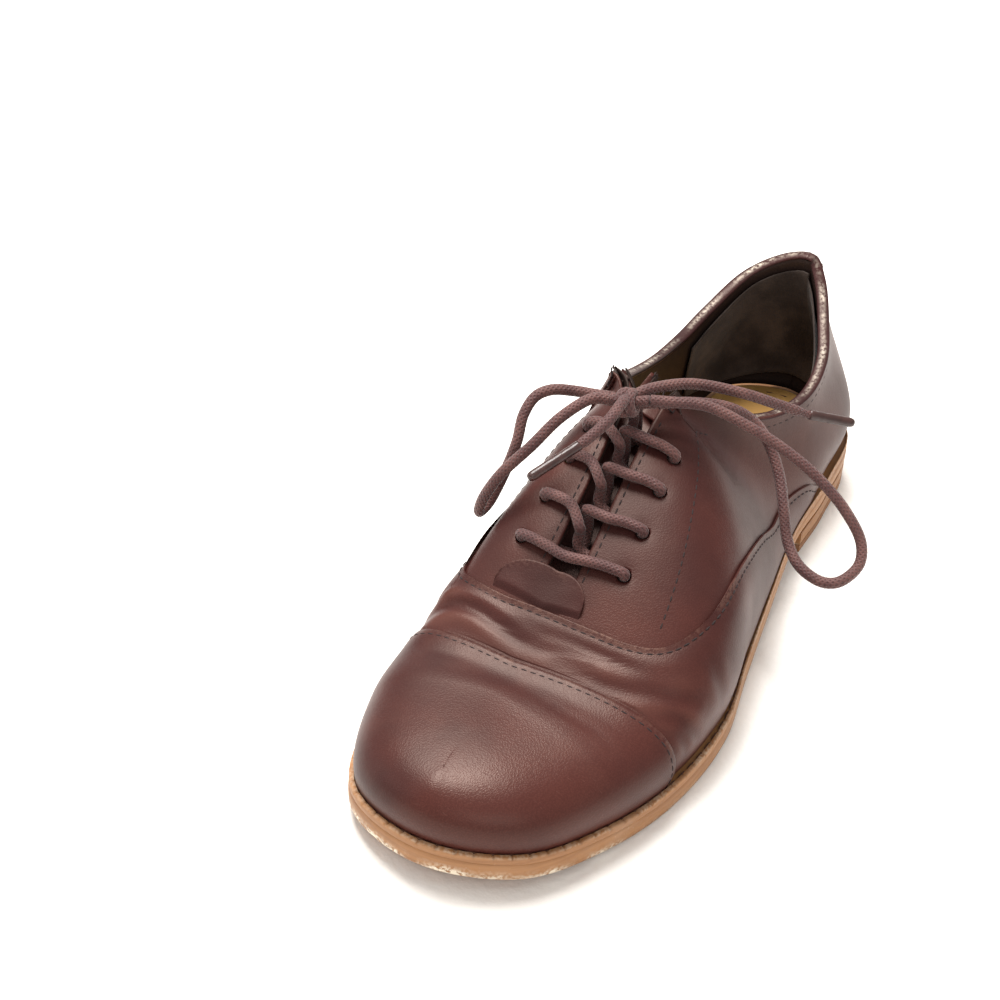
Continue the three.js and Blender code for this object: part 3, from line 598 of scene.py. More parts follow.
def tube_mesh(name: str, path: Grid, radius: Callable[[Grid, Grid], Grid], sides: int = 20) -> Mesh:
    """A round cord with a UV map in millimetres along and turns round.

    Args:
        name: The mesh's name.
        path: Evenly spaced points.
        radius: Radius from length run and angle.
        sides: Points round the cord.

    Returns:
        The mesh.
    """
    along = unit(np.gradient(path, axis=0))
    frame = [unit(np.cross(along[0], [0.3, 0.2, 1.0]))]
    for heading in along[1:]:
        frame.append(unit(frame[-1] - heading * (frame[-1] @ heading)))
    first = np.array(frame)
    second = np.cross(along, first)
    run = run_along(path)
    angle = np.linspace(0, 2 * math.pi, sides, endpoint=False)
    size = radius(run[:, None], angle[None, :])[..., None]
    ring = first[:, None] * np.cos(angle)[None, :, None] + second[:, None] * np.sin(angle)[None, :, None]
    body = path[:, None] + ring * size
    verts = np.concatenate([body.reshape(-1, 3), path[:1] - along[:1] * 0.4, path[-1:] + along[-1:] * 0.4])
    faces = grid_faces(len(path), sides, 0, wrap=True)
    tip = len(path) * sides
    end = (len(path) - 1) * sides
    for j in range(sides):
        nxt = (j + 1) % sides
        faces.append([tip, nxt, j])
        faces.append([tip + 1, end + j, end + nxt])
    mesh = bpy.data.meshes.new(name)
    mesh.from_pydata(to_frame(verts).tolist(), [], faces)
    uv = mesh.uv_layers.new(name="UVMap")
    corner = np.empty(len(mesh.loops), int)
    mesh.loops.foreach_get("vertex_index", corner)
    ring_at = np.minimum(corner // sides, len(path) - 1)
    turn = (corner % sides) / sides
    starts = np.empty(len(mesh.polygons), int)
    mesh.polygons.foreach_get("loop_start", starts)
    for begin, total in zip(starts, np.diff(np.r_[starts, len(corner)])):
        part = slice(begin, begin + total)
        if turn[part].max() - turn[part].min() > 0.5:
            turn[part] = np.where(turn[part] < 0.5, turn[part] + 1, turn[part])
    uv.data.foreach_set("uv", np.stack([run[ring_at], turn], 1).astype(np.float32).reshape(-1))
    work = bmesh.new()
    work.from_mesh(mesh)
    bmesh.ops.recalc_face_normals(work, faces=work.faces)
    work.to_mesh(mesh)
    work.free()
    return mesh


def attach(obj: Object, body: Body, *nodes: str) -> Object:
    """Puts a piece on its rigid body, or bakes a flexing piece in place; it stands in for its CAD nodes.

    Args:
        obj: The finished piece.
        body: The rigid body that it moves with; a flexing piece is only baked in place.
        nodes: The CAD nodes that it stands for.

    Returns:
        The piece.
    """
    if body is Body.FLEXING:
        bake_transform(obj)
    else:
        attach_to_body(obj, body.value)
    if nodes:
        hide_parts(*nodes)
    LOG.info("%s: %d faces", obj.name, len(obj.data.polygons))
    return obj


def join_meshes(name: str, meshes: Sequence[Mesh]) -> Mesh:
    """Joins meshes into one and removes the parts.

    Args:
        name: The new mesh's name.
        meshes: The parts.

    Returns:
        The joined mesh.
    """
    work = bmesh.new()
    for mesh in meshes:
        work.from_mesh(mesh)
    joined = bpy.data.meshes.new(name)
    work.to_mesh(joined)
    work.free()
    for mesh in meshes:
        bpy.data.meshes.remove(mesh)
    return joined


# Node making

Colour = tuple[float, float, float]


class Nodes:
    """A node tree with short calls to add and join nodes."""

    def __init__(self, tree: NodeTree) -> None:
        """Keeps the tree."""
        self.tree = tree

    def add(self, kind: str, values: dict | None = None, **settings: object) -> Node:
        """Adds a node.

        Args:
            kind: The node's type.
            values: Inputs by name or number, as values or as sockets to link.
            settings: The node's own properties.

        Returns:
            The node.
        """
        node = self.tree.nodes.new(kind)
        for key, value in settings.items():
            setattr(node, key, value)
        for key, value in (values or {}).items():
            if isinstance(value, NodeSocket):
                self.tree.links.new(value, node.inputs[key])
            else:
                node.inputs[key].default_value = value
        return node

    def link(self, socket: NodeSocket, target: NodeSocket) -> None:
        """Joins an output to an input."""
        self.tree.links.new(socket, target)

    def group(self, tree: NodeTree, values: dict) -> Node:
        """Places a shared effect; values as in add()."""
        return self.add("ShaderNodeGroup", values, node_tree=tree)

    def math(self, operation: str, *values: object, clamp: bool = False) -> NodeSocket:
        """One arithmetic step on values or sockets; returns its output."""
        node = self.add("ShaderNodeMath", dict(enumerate(values)), operation=operation, use_clamp=clamp)
        return node.outputs[0]

    def times(self, a: object, b: object) -> NodeSocket:
        """Product of two values or sockets."""
        return self.math("MULTIPLY", a, b)

    def mix(self, factor: object, a: object, b: object) -> NodeSocket:
        """Mixes two colours by a factor; returns the colour."""
        node = self.add("ShaderNodeMix", {0: factor, 6: opaque(a), 7: opaque(b)}, data_type="RGBA")
        return node.outputs[2]

    def ramp(self, value: object, low: float, high: float) -> NodeSocket:
        """A smooth step from 0 at low to 1 at high."""
        spread = {"Value": value, "From Min": low, "From Max": high}
        node = self.add("ShaderNodeMapRange", spread, interpolation_type="SMOOTHSTEP")
        return node.outputs[0]

    def noise(self, vector: object, scale: object, detail: float = 3.0) -> NodeSocket:
        """A fractal noise between 0 and 1."""
        node = self.add("ShaderNodeTexNoise", {"Vector": vector, "Scale": scale, "Detail": detail})
        return node.outputs[0]

    def attribute(self, name: str) -> NodeSocket:
        """A point attribute of the piece's own mesh."""
        node = self.add("ShaderNodeAttribute", attribute_name=name, attribute_type="GEOMETRY")
        return node.outputs["Fac"]


def opaque(colour: object) -> object:
    """A colour with alpha, or the socket that was given."""
    return colour if isinstance(colour, NodeSocket) else (*colour, 1.0)


def new_group(name: str, values: dict[str, float], outputs: Sequence[str]) -> tuple:
    """Starts a shader node group that reads a vector and named values.

    Args:
        name: The group's name.
        values: Its value inputs and their defaults.
        outputs: Names of its value outputs.

    Returns:
        The group, its Nodes helper, its inputs and its output node's inputs.
    """
    group = bpy.data.node_groups.new(name, "ShaderNodeTree")
    group.interface.new_socket("Vector", in_out="INPUT", socket_type="NodeSocketVector")
    for key, default in values.items():
        socket = group.interface.new_socket(key, in_out="INPUT", socket_type="NodeSocketFloat")
        socket.default_value = default
    for key in outputs:
        group.interface.new_socket(key, in_out="OUTPUT", socket_type="NodeSocketFloat")
    made = Nodes(group)
    return group, made, made.add("NodeGroupInput").outputs, made.add("NodeGroupOutput").inputs


class Effects:
    """The surface effects that the materials share, each a node group."""

    def __init__(self) -> None:
        """Builds every group once."""
        self.grain = self.make_grain()
        self.wear = self.make_wear()
        self.scuff = self.make_scuff()
        self.braid = self.make_braid()
        self.nap = self.make_nap()

    def make_grain(self) -> NodeTree:
        """Fine pebbles of finished leather, with pores between them.

        Returns:
            The group.
        """
        group, made, given, out = new_group("leather_grain", {"Scale": 1400.0}, ["Height", "Mask"])
        scale = given["Scale"]
        bend = made.noise(given["Vector"], made.times(scale, 0.35))
        shift = made.times(bend, 0.0009)
        push = made.add("ShaderNodeVectorMath", {0: given["Vector"], 1: shift}, operation="ADD")
        cells = made.add("ShaderNodeTexVoronoi", {"Vector": push.outputs[0], "Scale": scale})
        pebble = made.ramp(cells.outputs["Distance"], 0.75, 0.1)
        broad = made.noise(given["Vector"], made.times(scale, 0.12))
        height = made.math("MULTIPLY_ADD", pebble, 0.6, broad)
        made.link(height, out["Height"])
        made.link(made.math("SUBTRACT", 1.0, pebble), out["Mask"])
        return group

    def make_wear(self) -> NodeTree:
        """Rubbed edges, broken up by noise.

        Returns:
            The group.
        """
        group, made, given, out = new_group("edge_wear", {"Edge": 0.0, "Amount": 0.5}, ["Mask"])
        patches = made.noise(given["Vector"], 90.0)
        flecks = made.noise(given["Vector"], 900.0)
        both = made.times(made.ramp(patches, 0.3, 0.7), made.ramp(flecks, 0.35, 0.62))
        near = made.times(both, given["Edge"])
        mask = made.math("MULTIPLY", near, given["Amount"], clamp=True)
        made.link(mask, out["Mask"])
        return group

    def make_scuff(self) -> NodeTree:
        """Light rubs and short scratches in patches.

        Returns:
            The group.
        """
        group, made, given, out = new_group("scuffs", {"Amount": 0.4}, ["Mask", "Height"])
        place = made.add(
            "ShaderNodeMapping",
            {"Vector": given["Vector"], "Rotation": (0.3, 0.2, 0.9), "Scale": (1.0, 9.0, 3.0)},
        )
        lines = made.ramp(made.noise(place.outputs[0], 160.0, 2.0), 0.66, 0.74)
        patches = made.ramp(made.noise(given["Vector"], 28.0), 0.5, 0.7)
        haze = made.times(made.ramp(made.noise(given["Vector"], 60.0), 0.5, 0.8), 0.5)
        scratch = made.times(lines, patches)
        mask = made.math("MULTIPLY", made.math("ADD", scratch, haze), given["Amount"], clamp=True)
        made.link(mask, out["Mask"])
        made.link(made.times(scratch, -1.0), out["Height"])
        return group

    def make_braid(self) -> NodeTree:
        """Two sets of strands that cross each other round a cord.

        Returns:
            The group.
        """
        group, made, given, out = new_group("braid", {"Pitch": 2.2, "Strands": 6.0}, ["Height", "Mask"])
        parts = made.add("ShaderNodeSeparateXYZ", {0: given["Vector"]})
        along = made.math("DIVIDE", parts.outputs[0], given["Pitch"])
        turn = made.times(parts.outputs[1], given["Strands"])
        strands = []
        for operation in ("ADD", "SUBTRACT"):
            phase = made.math("FRACT", made.math(operation, along, turn))
            strands.append(made.math("SINE", made.times(phase, math.pi)))
        height = made.math("MAXIMUM", strands[0], strands[1])
        made.link(height, out["Height"])
        made.link(made.ramp(height, 0.9, 0.6), out["Mask"])
        return group

    def make_nap(self) -> NodeTree:
        """Short raised fibres of suede and brushed cloth.

        Returns:
            The group.
        """
        group, made, given, out = new_group("nap", {"Scale": 1600.0}, ["Height", "Mask"])
        scale = given["Scale"]
        fibres = made.noise(given["Vector"], scale, 4.0)
        brushed = made.noise(given["Vector"], made.times(scale, 0.05))
        made.link(fibres, out["Height"])
        made.link(made.ramp(brushed, 0.35, 0.7), out["Mask"])
        return group


def start_material(name: str, constants: dict[str, float]) -> tuple:
    """A new material with its shader.

    Args:
        name: The material's name.
        constants: Fixed inputs of the shader.

    Returns:
        The material, its Nodes helper, its shader and its object coordinates.
    """
    material = bpy.data.materials.new(name)
    material.use_nodes = True
    made = Nodes(material.node_tree)
    shader = next(node for node in material.node_tree.nodes if node.type == "BSDF_PRINCIPLED")
    for key, value in constants.items():
        shader.inputs[key].default_value = value
    where = made.add("ShaderNodeTexCoord")
    return material, made, shader, where.outputs["Object"]


def dress(made: Nodes, shader: Node, colour: object, rough: object, height: object,
          depth: float) -> None:
    """Feeds a shader with colour, roughness and relief.

    Args:
        made: The material's nodes.
        shader: Its Principled shader.
        colour: Colour socket.
        rough: Roughness socket.
        height: Height socket from 0 to 1.
        depth: Depth of the relief in metres.
    """
    bump = made.add("ShaderNodeBump", {"Height": height, "Strength": 1.0, "Distance": depth})
    made.link(colour, shader.inputs["Base Color"])
    made.link(rough, shader.inputs["Roughness"])
    made.link(bump.outputs[0], shader.inputs["Normal"])


@dataclass(frozen=True)
class Leather:
    """Smooth finished leather that has been worn, with painted shade in its dips and painted highlight on its
    rises.
    """

    name: str
    base: Colour
    dark: Colour
    light: Colour
    worn: Colour
    roughness: float = 0.42
    wear: float = 0.6
    scuffs: float = 0.35
    grain: float = 1900.0
    depth: float = 0.00004

    def material(self, effects: Effects) -> Material:
        """Builds the finish.

        Args:
            effects: The shared effects.

        Returns:
            The material.
        """
        constants = {"Specular IOR Level": 0.26, "Coat Weight": 0.02, "Coat Roughness": 0.3}
        constants["Specular Tint"] = (1.0, 0.8, 0.7, 1.0)
        material, made, shader, where = start_material(self.name, constants)
        grain = made.group(effects.grain, {"Vector": where, "Scale": self.grain})
        edge = {"Vector": where, "Edge": made.attribute("wear"), "Amount": self.wear}
        wear = made.group(effects.wear, edge)
        scuff = made.group(effects.scuff, {"Vector": where, "Amount": self.scuffs})
        mottle = made.ramp(made.noise(where, 26.0, 4.0), 0.3, 0.7)
        colour = made.mix(mottle, self.dark, self.base)
        colour = made.mix(made.times(scuff.outputs["Mask"], 0.5), colour, self.light)
        colour = made.mix(made.times(grain.outputs["Mask"], 0.35), colour, self.dark)
        # Painted shade and painted highlight: where the relief dips (creases, seam edges, stitch dents, hole
        # dips) the colour is pulled towards the dark tone, and where it rises towards the light tone.
        crease = made.attribute("crease")
        for share, tone in ((0.55, self.dark), (-0.3, self.light)):
            colour = made.mix(made.math("MULTIPLY", crease, share, clamp=True), colour, tone)
        colour = made.mix(wear.outputs["Mask"], colour, self.worn)
        rough = made.math("MULTIPLY_ADD", mottle, -0.1, self.roughness + 0.05)
        rough = made.math("ADD", rough, made.times(scuff.outputs["Mask"], 0.2))
        height = made.math("ADD", grain.outputs["Height"], scuff.outputs["Height"])
        dress(made, shader, colour, rough, height, self.depth)
        return material


@dataclass(frozen=True)
class Napped:
    """Suede or brushed cloth, rubbed smooth in places."""

    name: str
    base: Colour
    rubbed: Colour
    roughness: float = 0.9
    scale: float = 1500.0
    depth: float = 0.00012
    sheen: float = 0.25

    def material(self, effects: Effects) -> Material:
        """Builds the finish.

        Args:
            effects: The shared effects.

        Returns:
            The material.
        """
        constants = {"Sheen Weight": self.sheen, "Sheen Roughness": 0.5, "Specular IOR Level": 0.3}
        material, made, shader, where = start_material(self.name, constants)
        nap = made.group(effects.nap, {"Vector": where, "Scale": self.scale})
        wear = made.group(effects.wear, {"Vector": where, "Edge": 0.5, "Amount": 0.8})
        colour = made.mix(nap.outputs["Mask"], self.base, self.rubbed)
        colour = made.mix(made.times(wear.outputs["Mask"], 0.4), colour, self.rubbed)
        rough = made.math("MULTIPLY_ADD", nap.outputs["Mask"], -0.2, self.roughness)
        dress(made, shader, colour, rough, nap.outputs["Height"], self.depth)
        return material


@dataclass(frozen=True)
class Rubber:
    """Moulded sole rubber with chipped paint at its rubbed edges."""

    name: str
    base: Colour
    dark: Colour
    chip: Colour
    roughness: float = 0.5

    def material(self, effects: Effects) -> Material:
        """Builds the finish.

        Args:
            effects: The shared effects.

        Returns:
            The material.
        """
        material, made, shader, where = start_material(self.name, {"Specular IOR Level": 0.45})
        layers = made.add("ShaderNodeMapping", {"Vector": where, "Scale": (12.0, 12.0, 420.0)})
        stack = made.ramp(made.noise(layers.outputs[0], 1.4, 2.0), 0.35, 0.7)
        fine = made.noise(where, 700.0, 3.0)
        colour = made.mix(made.times(stack, 0.6), self.base, self.dark)
        grime = made.times(made.ramp(made.noise(where, 120.0), 0.5, 0.8), 0.35)
        colour = made.mix(grime, colour, self.dark)
        edge = {"Vector": where, "Edge": made.attribute("wear"), "Amount": 6.0}
        wear = made.group(effects.wear, edge)
        colour = made.mix(wear.outputs["Mask"], colour, self.chip)
        scuff = made.group(effects.scuff, {"Vector": where, "Amount": 0.5})
        colour = made.mix(made.times(scuff.outputs["Mask"], 0.3), colour, self.chip)
        rough = made.math("MULTIPLY_ADD", fine, 0.25, self.roughness - 0.1)
        height = made.math("SUBTRACT", fine, made.times(wear.outputs["Mask"], 2.0))
        dress(made, shader, colour, rough, height, 0.00006)
        return material


@dataclass(frozen=True)
class Braided:
    """Waxed braid of a shoe lace."""

    name: str
    base: Colour
    dark: Colour
    light: Colour

    def material(self, effects: Effects) -> Material:
        """Builds the finish.

        Args:
            effects: The shared effects.

        Returns:
            The material.
        """
        material, made, shader, where = start_material(self.name, {"Sheen Weight": 0.15})
        uv = made.add("ShaderNodeTexCoord").outputs["UV"]
        braid = made.group(effects.braid, {"Vector": uv, "Pitch": 1.6, "Strands": 7.0})
        nap = made.group(effects.nap, {"Vector": where, "Scale": 2600.0})
        colour = made.mix(nap.outputs["Mask"], self.base, self.light)
        colour = made.mix(made.times(braid.outputs["Mask"], 0.4), colour, self.dark)
        rough = made.math("MULTIPLY_ADD", nap.outputs["Height"], 0.3, 0.45)
        height = made.math("MULTIPLY_ADD", nap.outputs["Height"], 0.25, braid.outputs["Height"])
        dress(made, shader, colour, rough, height, 0.0003)
        return material


@dataclass(frozen=True)
class Plain:
    """Board, cork, steel, thread and clear plastic: one colour, speckled."""

    name: str
    base: Colour
    dark: Colour
    roughness: float = 0.6
    scale: float = 800.0
    depth: float = 0.00004
    metallic: float = 0.0
    transmission: float = 0.0

    def material(self, effects: Effects) -> Material:
        """Builds the finish.

        Args:
            effects: The shared effects.

        Returns:
            The material.
        """
        constants = {"Metallic": self.metallic, "Transmission Weight": self.transmission}
        material, made, shader, where = start_material(self.name, constants)
        speckle = made.ramp(made.noise(where, self.scale, 4.0), 0.35, 0.65)
        scuff = made.group(effects.scuff, {"Vector": where, "Amount": 0.5})
        colour = made.mix(speckle, self.base, self.dark)
        rough = made.math("MULTIPLY_ADD", scuff.outputs["Mask"], 0.2, self.roughness)
        dress(made, shader, colour, rough, speckle, self.depth)
        return material


class Finishes:
    """Every finish of the shoe, as materials."""

    def __init__(self) -> None:
        """Builds the shared effects and all materials."""
        fx = Effects()
        oxblood = ((0.074, 0.021, 0.0165), (0.034, 0.0085, 0.008), (0.155, 0.062, 0.046), (0.2, 0.105, 0.077))
        rim = ((0.05, 0.017, 0.017), (0.025, 0.008, 0.009), (0.12, 0.055, 0.045), (0.72, 0.63, 0.52))
        tab = ((0.056, 0.0145, 0.013), (0.027, 0.007, 0.007), (0.09, 0.036, 0.032), (0.15, 0.075, 0.06))
        lining = ((0.03, 0.017, 0.014), (0.014, 0.008, 0.007), (0.07, 0.048, 0.04), (0.1, 0.07, 0.058))
        ochre = ((0.62, 0.37, 0.13), (0.5, 0.28, 0.09), (0.7, 0.47, 0.22), (0.36, 0.19, 0.07))
        tan = ((0.37, 0.175, 0.068), (0.23, 0.098, 0.036), (0.8, 0.7, 0.55))
        tread = ((0.34, 0.16, 0.07), (0.2, 0.09, 0.04), (0.6, 0.45, 0.3))
        braid = ((0.075, 0.021, 0.019), (0.022, 0.006, 0.006), (0.13, 0.048, 0.04))
        clear = ((0.12, 0.05, 0.042), (0.08, 0.033, 0.028))
        self.upper = Leather("oxblood_leather", *oxblood).material(fx)
        self.cap = Leather("cap_leather", *oxblood, roughness=0.38, scuffs=0.55).material(fx)
        self.binding = Leather("binding_leather", *rim, wear=0.9, scuffs=0.2).material(fx)
        self.tab = Leather("tab_leather", *tab, roughness=0.5).material(fx)
        self.lining = Leather("lining_leather", *lining, roughness=0.6, scuffs=0.5).material(fx)
        self.suede = Napped("grip_suede", (0.026, 0.0165, 0.013), (0.07, 0.05, 0.041), sheen=0.1).material(fx)
        self.sock = Leather("sock_leather", *ochre, roughness=0.5, wear=1.5, scuffs=0.4).material(fx)
        self.tan = Rubber("sole_rubber", *tan).material(fx)
        self.lift = Rubber("tread_rubber", *tread, roughness=0.65).material(fx)
        self.lace = Braided("lace_braid", *braid).material(fx)
        threads = {
            "dark_thread": ((0.018, 0.005, 0.005), (0.01, 0.003, 0.003), 0.8, 3000.0),
            "sole_thread": ((0.13, 0.055, 0.025), (0.07, 0.03, 0.015), 0.7, 2500.0),
        }
        self.thread, self.sole_thread = (Plain(key, *look).material(fx) for key, look in threads.items())
        self.board = Plain("pressed_board", (0.3, 0.2, 0.12), (0.22, 0.14, 0.08), 0.85).material(fx)
        self.cork = Plain("cork", (0.34, 0.2, 0.1), (0.16, 0.085, 0.04), 0.9, 450.0, 0.0002).material(fx)
        steel = Plain("spring_steel", (0.5, 0.5, 0.52), (0.4, 0.4, 0.42), 0.35, metallic=1.0)
        self.steel = steel.material(fx)
        self.stiffener = Plain("stiffener", (0.5, 0.4, 0.28), (0.42, 0.33, 0.22), 0.85, 600.0).material(fx)
        self.clear = Plain("clear_sleeve", *clear, 0.34, 300.0, transmission=0.6).material(fx)


# Stitching


class StitchTree:
    """A Geometry Nodes tree that lays stitches along seam lines."""

    def __init__(self) -> None:
        """Builds the tree with its named inputs."""
        tree = bpy.data.node_groups.new("stitch_row", "GeometryNodeTree")
        kinds = {"Seam": "NodeSocketGeometry", "Pitch": "NodeSocketFloat", "Length": "NodeSocketFloat",
                 "Thickness": "NodeSocketFloat", "Finish": "NodeSocketMaterial"}
        self.sockets = {}
        for key, kind in kinds.items():
            socket = tree.interface.new_socket(key, in_out="INPUT", socket_type=kind)
            self.sockets[key] = socket.identifier
        tree.interface.new_socket("Stitches", in_out="OUTPUT", socket_type="NodeSocketGeometry")
        made = Nodes(tree)
        given = made.add("NodeGroupInput").outputs
        curve = made.add("GeometryNodeMeshToCurve", {"Mesh": given["Seam"]})
        points = made.add("GeometryNodeResampleCurve", {"Curve": curve.outputs[0]})
        points.mode = "LENGTH"
        made.link(given["Pitch"], points.inputs["Length"])
        bead = made.add("GeometryNodeMeshUVSphere", {"Segments": 7, "Rings": 6, "Radius": 1.0})
        half = made.times(given["Length"], 0.5)
        size = made.add("ShaderNodeCombineXYZ", {0: given["Thickness"], 1: given["Thickness"], 2: half})
        shaping = {"Geometry": bead.outputs["Mesh"], "Scale": size.outputs[0]}
        shaped = made.add("GeometryNodeTransform", shaping)
        tangent = made.add("GeometryNodeInputTangent")
        jitter = made.add("FunctionNodeRandomValue", data_type="FLOAT_VECTOR")
        jitter.inputs["Min"].default_value = (-0.06, -0.06, -0.06)
        jitter.inputs["Max"].default_value = (0.06, 0.06, 0.06)
        jitter.inputs["Seed"].default_value = 7
        aim = made.add("ShaderNodeVectorMath", {0: tangent.outputs[0], 1: jitter.outputs[0]}, operation="ADD")
        turn = made.add("FunctionNodeAlignRotationToVector", {"Vector": aim.outputs[0]}, axis="Z")
        laid = made.add("GeometryNodeInstanceOnPoints", {
            "Points": points.outputs[0], "Instance": shaped.outputs[0], "Rotation": turn.outputs[0],
        })
        real = made.add("GeometryNodeRealizeInstances", {"Geometry": laid.outputs[0]})
        last = made.add("GeometryNodeSetMaterial", {"Geometry": real.outputs[0], "Material": given["Finish"]})
        made.add("NodeGroupOutput", {0: last.outputs[0]})
        self.tree = tree

    def sew(self, name: str, seams: Sequence[Grid], finish: Material,
            pitch: float = 3.0, length: float = 2.3, thickness: float = 0.3) -> Object:
        """Sews rows of stitches.

        Args:
            name: The piece's name.
            seams: Paths in working millimetres.
            finish: The thread's material.
            pitch: Distance between stitches, millimetres.
            length: Length of one stitch, millimetres.
            thickness: Half the thread's width, millimetres.

        Returns:
            The stitches as one plain mesh object.
        """
        verts, edges = [], []
        for seam in seams:
            start = len(verts)
            verts += to_frame(seam).tolist()
            edges += [(start + i, start + i + 1) for i in range(len(seam) - 1)]
        guide_mesh = bpy.data.meshes.new(name + "_seam")
        guide_mesh.from_pydata(verts, edges, [])
        guide = bpy.data.objects.new(name + "_seam", guide_mesh)
        bpy.context.scene.collection.objects.link(guide)
        modifier = guide.modifiers.new("stitches", "NODES")
        modifier.node_group = self.tree
        modifier[self.sockets["Pitch"]] = pitch * MM
        modifier[self.sockets["Length"]] = length * MM
        modifier[self.sockets["Thickness"]] = thickness * MM
        modifier[self.sockets["Finish"]] = finish
        graph = bpy.context.evaluated_depsgraph_get()
        mesh = bpy.data.meshes.new_from_object(guide.evaluated_get(graph), depsgraph=graph)
        bpy.data.objects.remove(guide)
        mesh.name = name
        return add_object(name, mesh, finish)


@dataclass
class Assembly:
    """A sub-assembly, with its finishes and what sews it."""

    fin: Finishes
    stitcher: StitchTree

    def put(self, mesh: Mesh, finish: Material, body: Body, *nodes: str) -> None:
        """Puts a mesh in place as the piece of its name; see attach()."""
        attach(add_object(mesh.name, mesh, finish), body, *nodes)

    def put_stitches(self, name: str, seams: Sequence[Grid], body: Body) -> None:
        """Sews rows of the upper's thread; see StitchTree.sew()."""
        attach(self.stitcher.sew(name, seams, self.fin.thread), body)


def seam_line(rows: Sequence, offset: float, inset: float, spacing: float = 1.0) -> Grid:
    """A line on the upper that runs beside an edge.

    Args:
        rows: The edge as (side sign, station, height) rows; heights past 1 cross over.
        offset: Height over the reference surface.
        inset: How far to the left of the edge's direction, millimetres.
        spacing: Distance between the points.

    Returns:
        Points of the line.
    """
    data = np.asarray(rows, float)
    points = spots(rows, offset)
    normals = LAST.normal(data[:, 0], data[:, 1], data[:, 2])
    along = unit(np.gradient(points, axis=0))
    sideways = unit(np.cross(normals, along))
    moved = points + sideways * inset
    run = run_along(moved)
    even = np.linspace(0, run[-1], max(2, int(run[-1] / spacing)))
    return np.stack([np.interp(even, run, moved[:, c]) for c in range(3)], axis=1)


def across_rows(station: Curve, count: int = 240) -> Grid:
    """Rows from the lateral featherline over the instep to the medial one.

    Args:
        station: Station for each place from -1 (medial) to 1 (lateral).
        count: How many rows.

    Returns:
        (side sign, station, height) rows.
    """
    place = np.linspace(0.999, -0.999, count)
    return np.stack([np.where(place >= 0, 1.0, -1.0), station(place), 1 - np.abs(place)], axis=1)


# Sub-assemblies

WING = {
    Side.LATERAL: Smooth([0, 0.12, 0.22, 0.32, 0.42, 0.52, 0.62, 0.72, 0.8, 0.88, 0.94, 1], [
        (7.8, 0), (7.62, 0.13), (7.42, 0.25), (7.0, 0.29), (6.4, 0.25), (5.4, 0.32),
        (4.6, 0.4), (3.95, 0.49), (3.55, 0.6), (3.4, 0.74), (3.4, 0.88), (3.44, 1),
    ]),
    Side.MEDIAL: Smooth([0, 0.12, 0.22, 0.32, 0.42, 0.52, 0.62, 0.72, 0.8, 0.88, 0.94, 1], [
        (7.8, 0), (7.62, 0.12), (7.42, 0.22), (7.0, 0.26), (6.4, 0.24), (5.4, 0.27),
        (4.6, 0.3), (3.95, 0.36), (3.6, 0.48), (3.45, 0.65), (3.4, 0.84), (3.44, 1),
    ]),
}
FACING_EDGE = Smooth([3.22, 4, 5, 5.6, 10], [0.955, 0.95, 0.975, 1, 1])
LINING_TOP = Smooth([3, 4.2, 4.8, 5.1, 5.4, 5.7, 7, 10], [-3.5, -3.5, -3.6, -4.1, -4.5, -4.7, -4.7, -4.7])
EYELETS = (3.9, 4.27, 4.66, 5.05)
EYELET_HEIGHT = {Side.LATERAL: 0.83, Side.MEDIAL: 0.79}


@dataclass(frozen=True)
class Crease:
    """A fold in the leather, along places (across from -1 to 1, station)."""

    places: tuple
    depth: float
    width: float

    def path(self) -> Grid:
        """The fold's line on the reference surface."""
        raw = np.array([(c, k, 0.0) for c, k in self.places])
        fine = polyline(raw * [1, 1, 0], 0.02)
        sign = np.where(fine[:, 0] >= 0, 1.0, -1.0)
        return LAST.layer(sign, fine[:, 1], 1 - np.abs(fine[:, 0]), np.zeros(len(fine)))

    def press(self, points: Grid) -> Grid:
        """Relief of the fold: a valley with two soft ridges.

        Args:
            points: Grid of points.

        Returns:
            Heights with the grid's shape.
        """
        path = self.path()
        fade = np.sin(np.linspace(0.12, math.pi - 0.12, len(path)))
        flat = points.reshape(-1, 3)
        gap = np.full(len(flat), 1e9)
        share = np.zeros(len(flat))
        for at in range(len(path)):
            here = ((flat - path[at]) ** 2).sum(-1)
            closer = here < gap
            gap = np.where(closer, here, gap)
            share = np.where(closer, fade[at], share)
        x = np.sqrt(gap) / self.width
        relief = self.depth * share * (-np.exp(-x**2) + 0.55 * np.exp(-((x - 1.7) ** 2)))
        return relief.reshape(points.shape[:-1])


def crossing_grid(rows: int, half: int, place: Callable) -> tuple[Grid, Grid, Grid]:
    """Stations and heights of a patch that crosses the instep.

    Args:
        rows: Rows from front to back.
        half: Columns on each side.
        place: Function of (side, t, w) that gives station and height.

    Returns:
        Side signs, stations and heights as grids.
    """
    t = np.linspace(0, 1, rows)[:, None]
    w = np.linspace(0, 1, half)[None, :]
    k1, v1 = place(Side.LATERAL, t, w)
    k2, v2 = place(Side.MEDIAL, t, w)
    k = np.concatenate([k1, k2[:, -2::-1]], axis=1)
    v = np.concatenate([v1, v2[:, -2::-1]], axis=1)
    sign = np.concatenate([np.ones_like(k1), -np.ones_like(k2[:, 1:])], axis=1)
    return sign, k, v


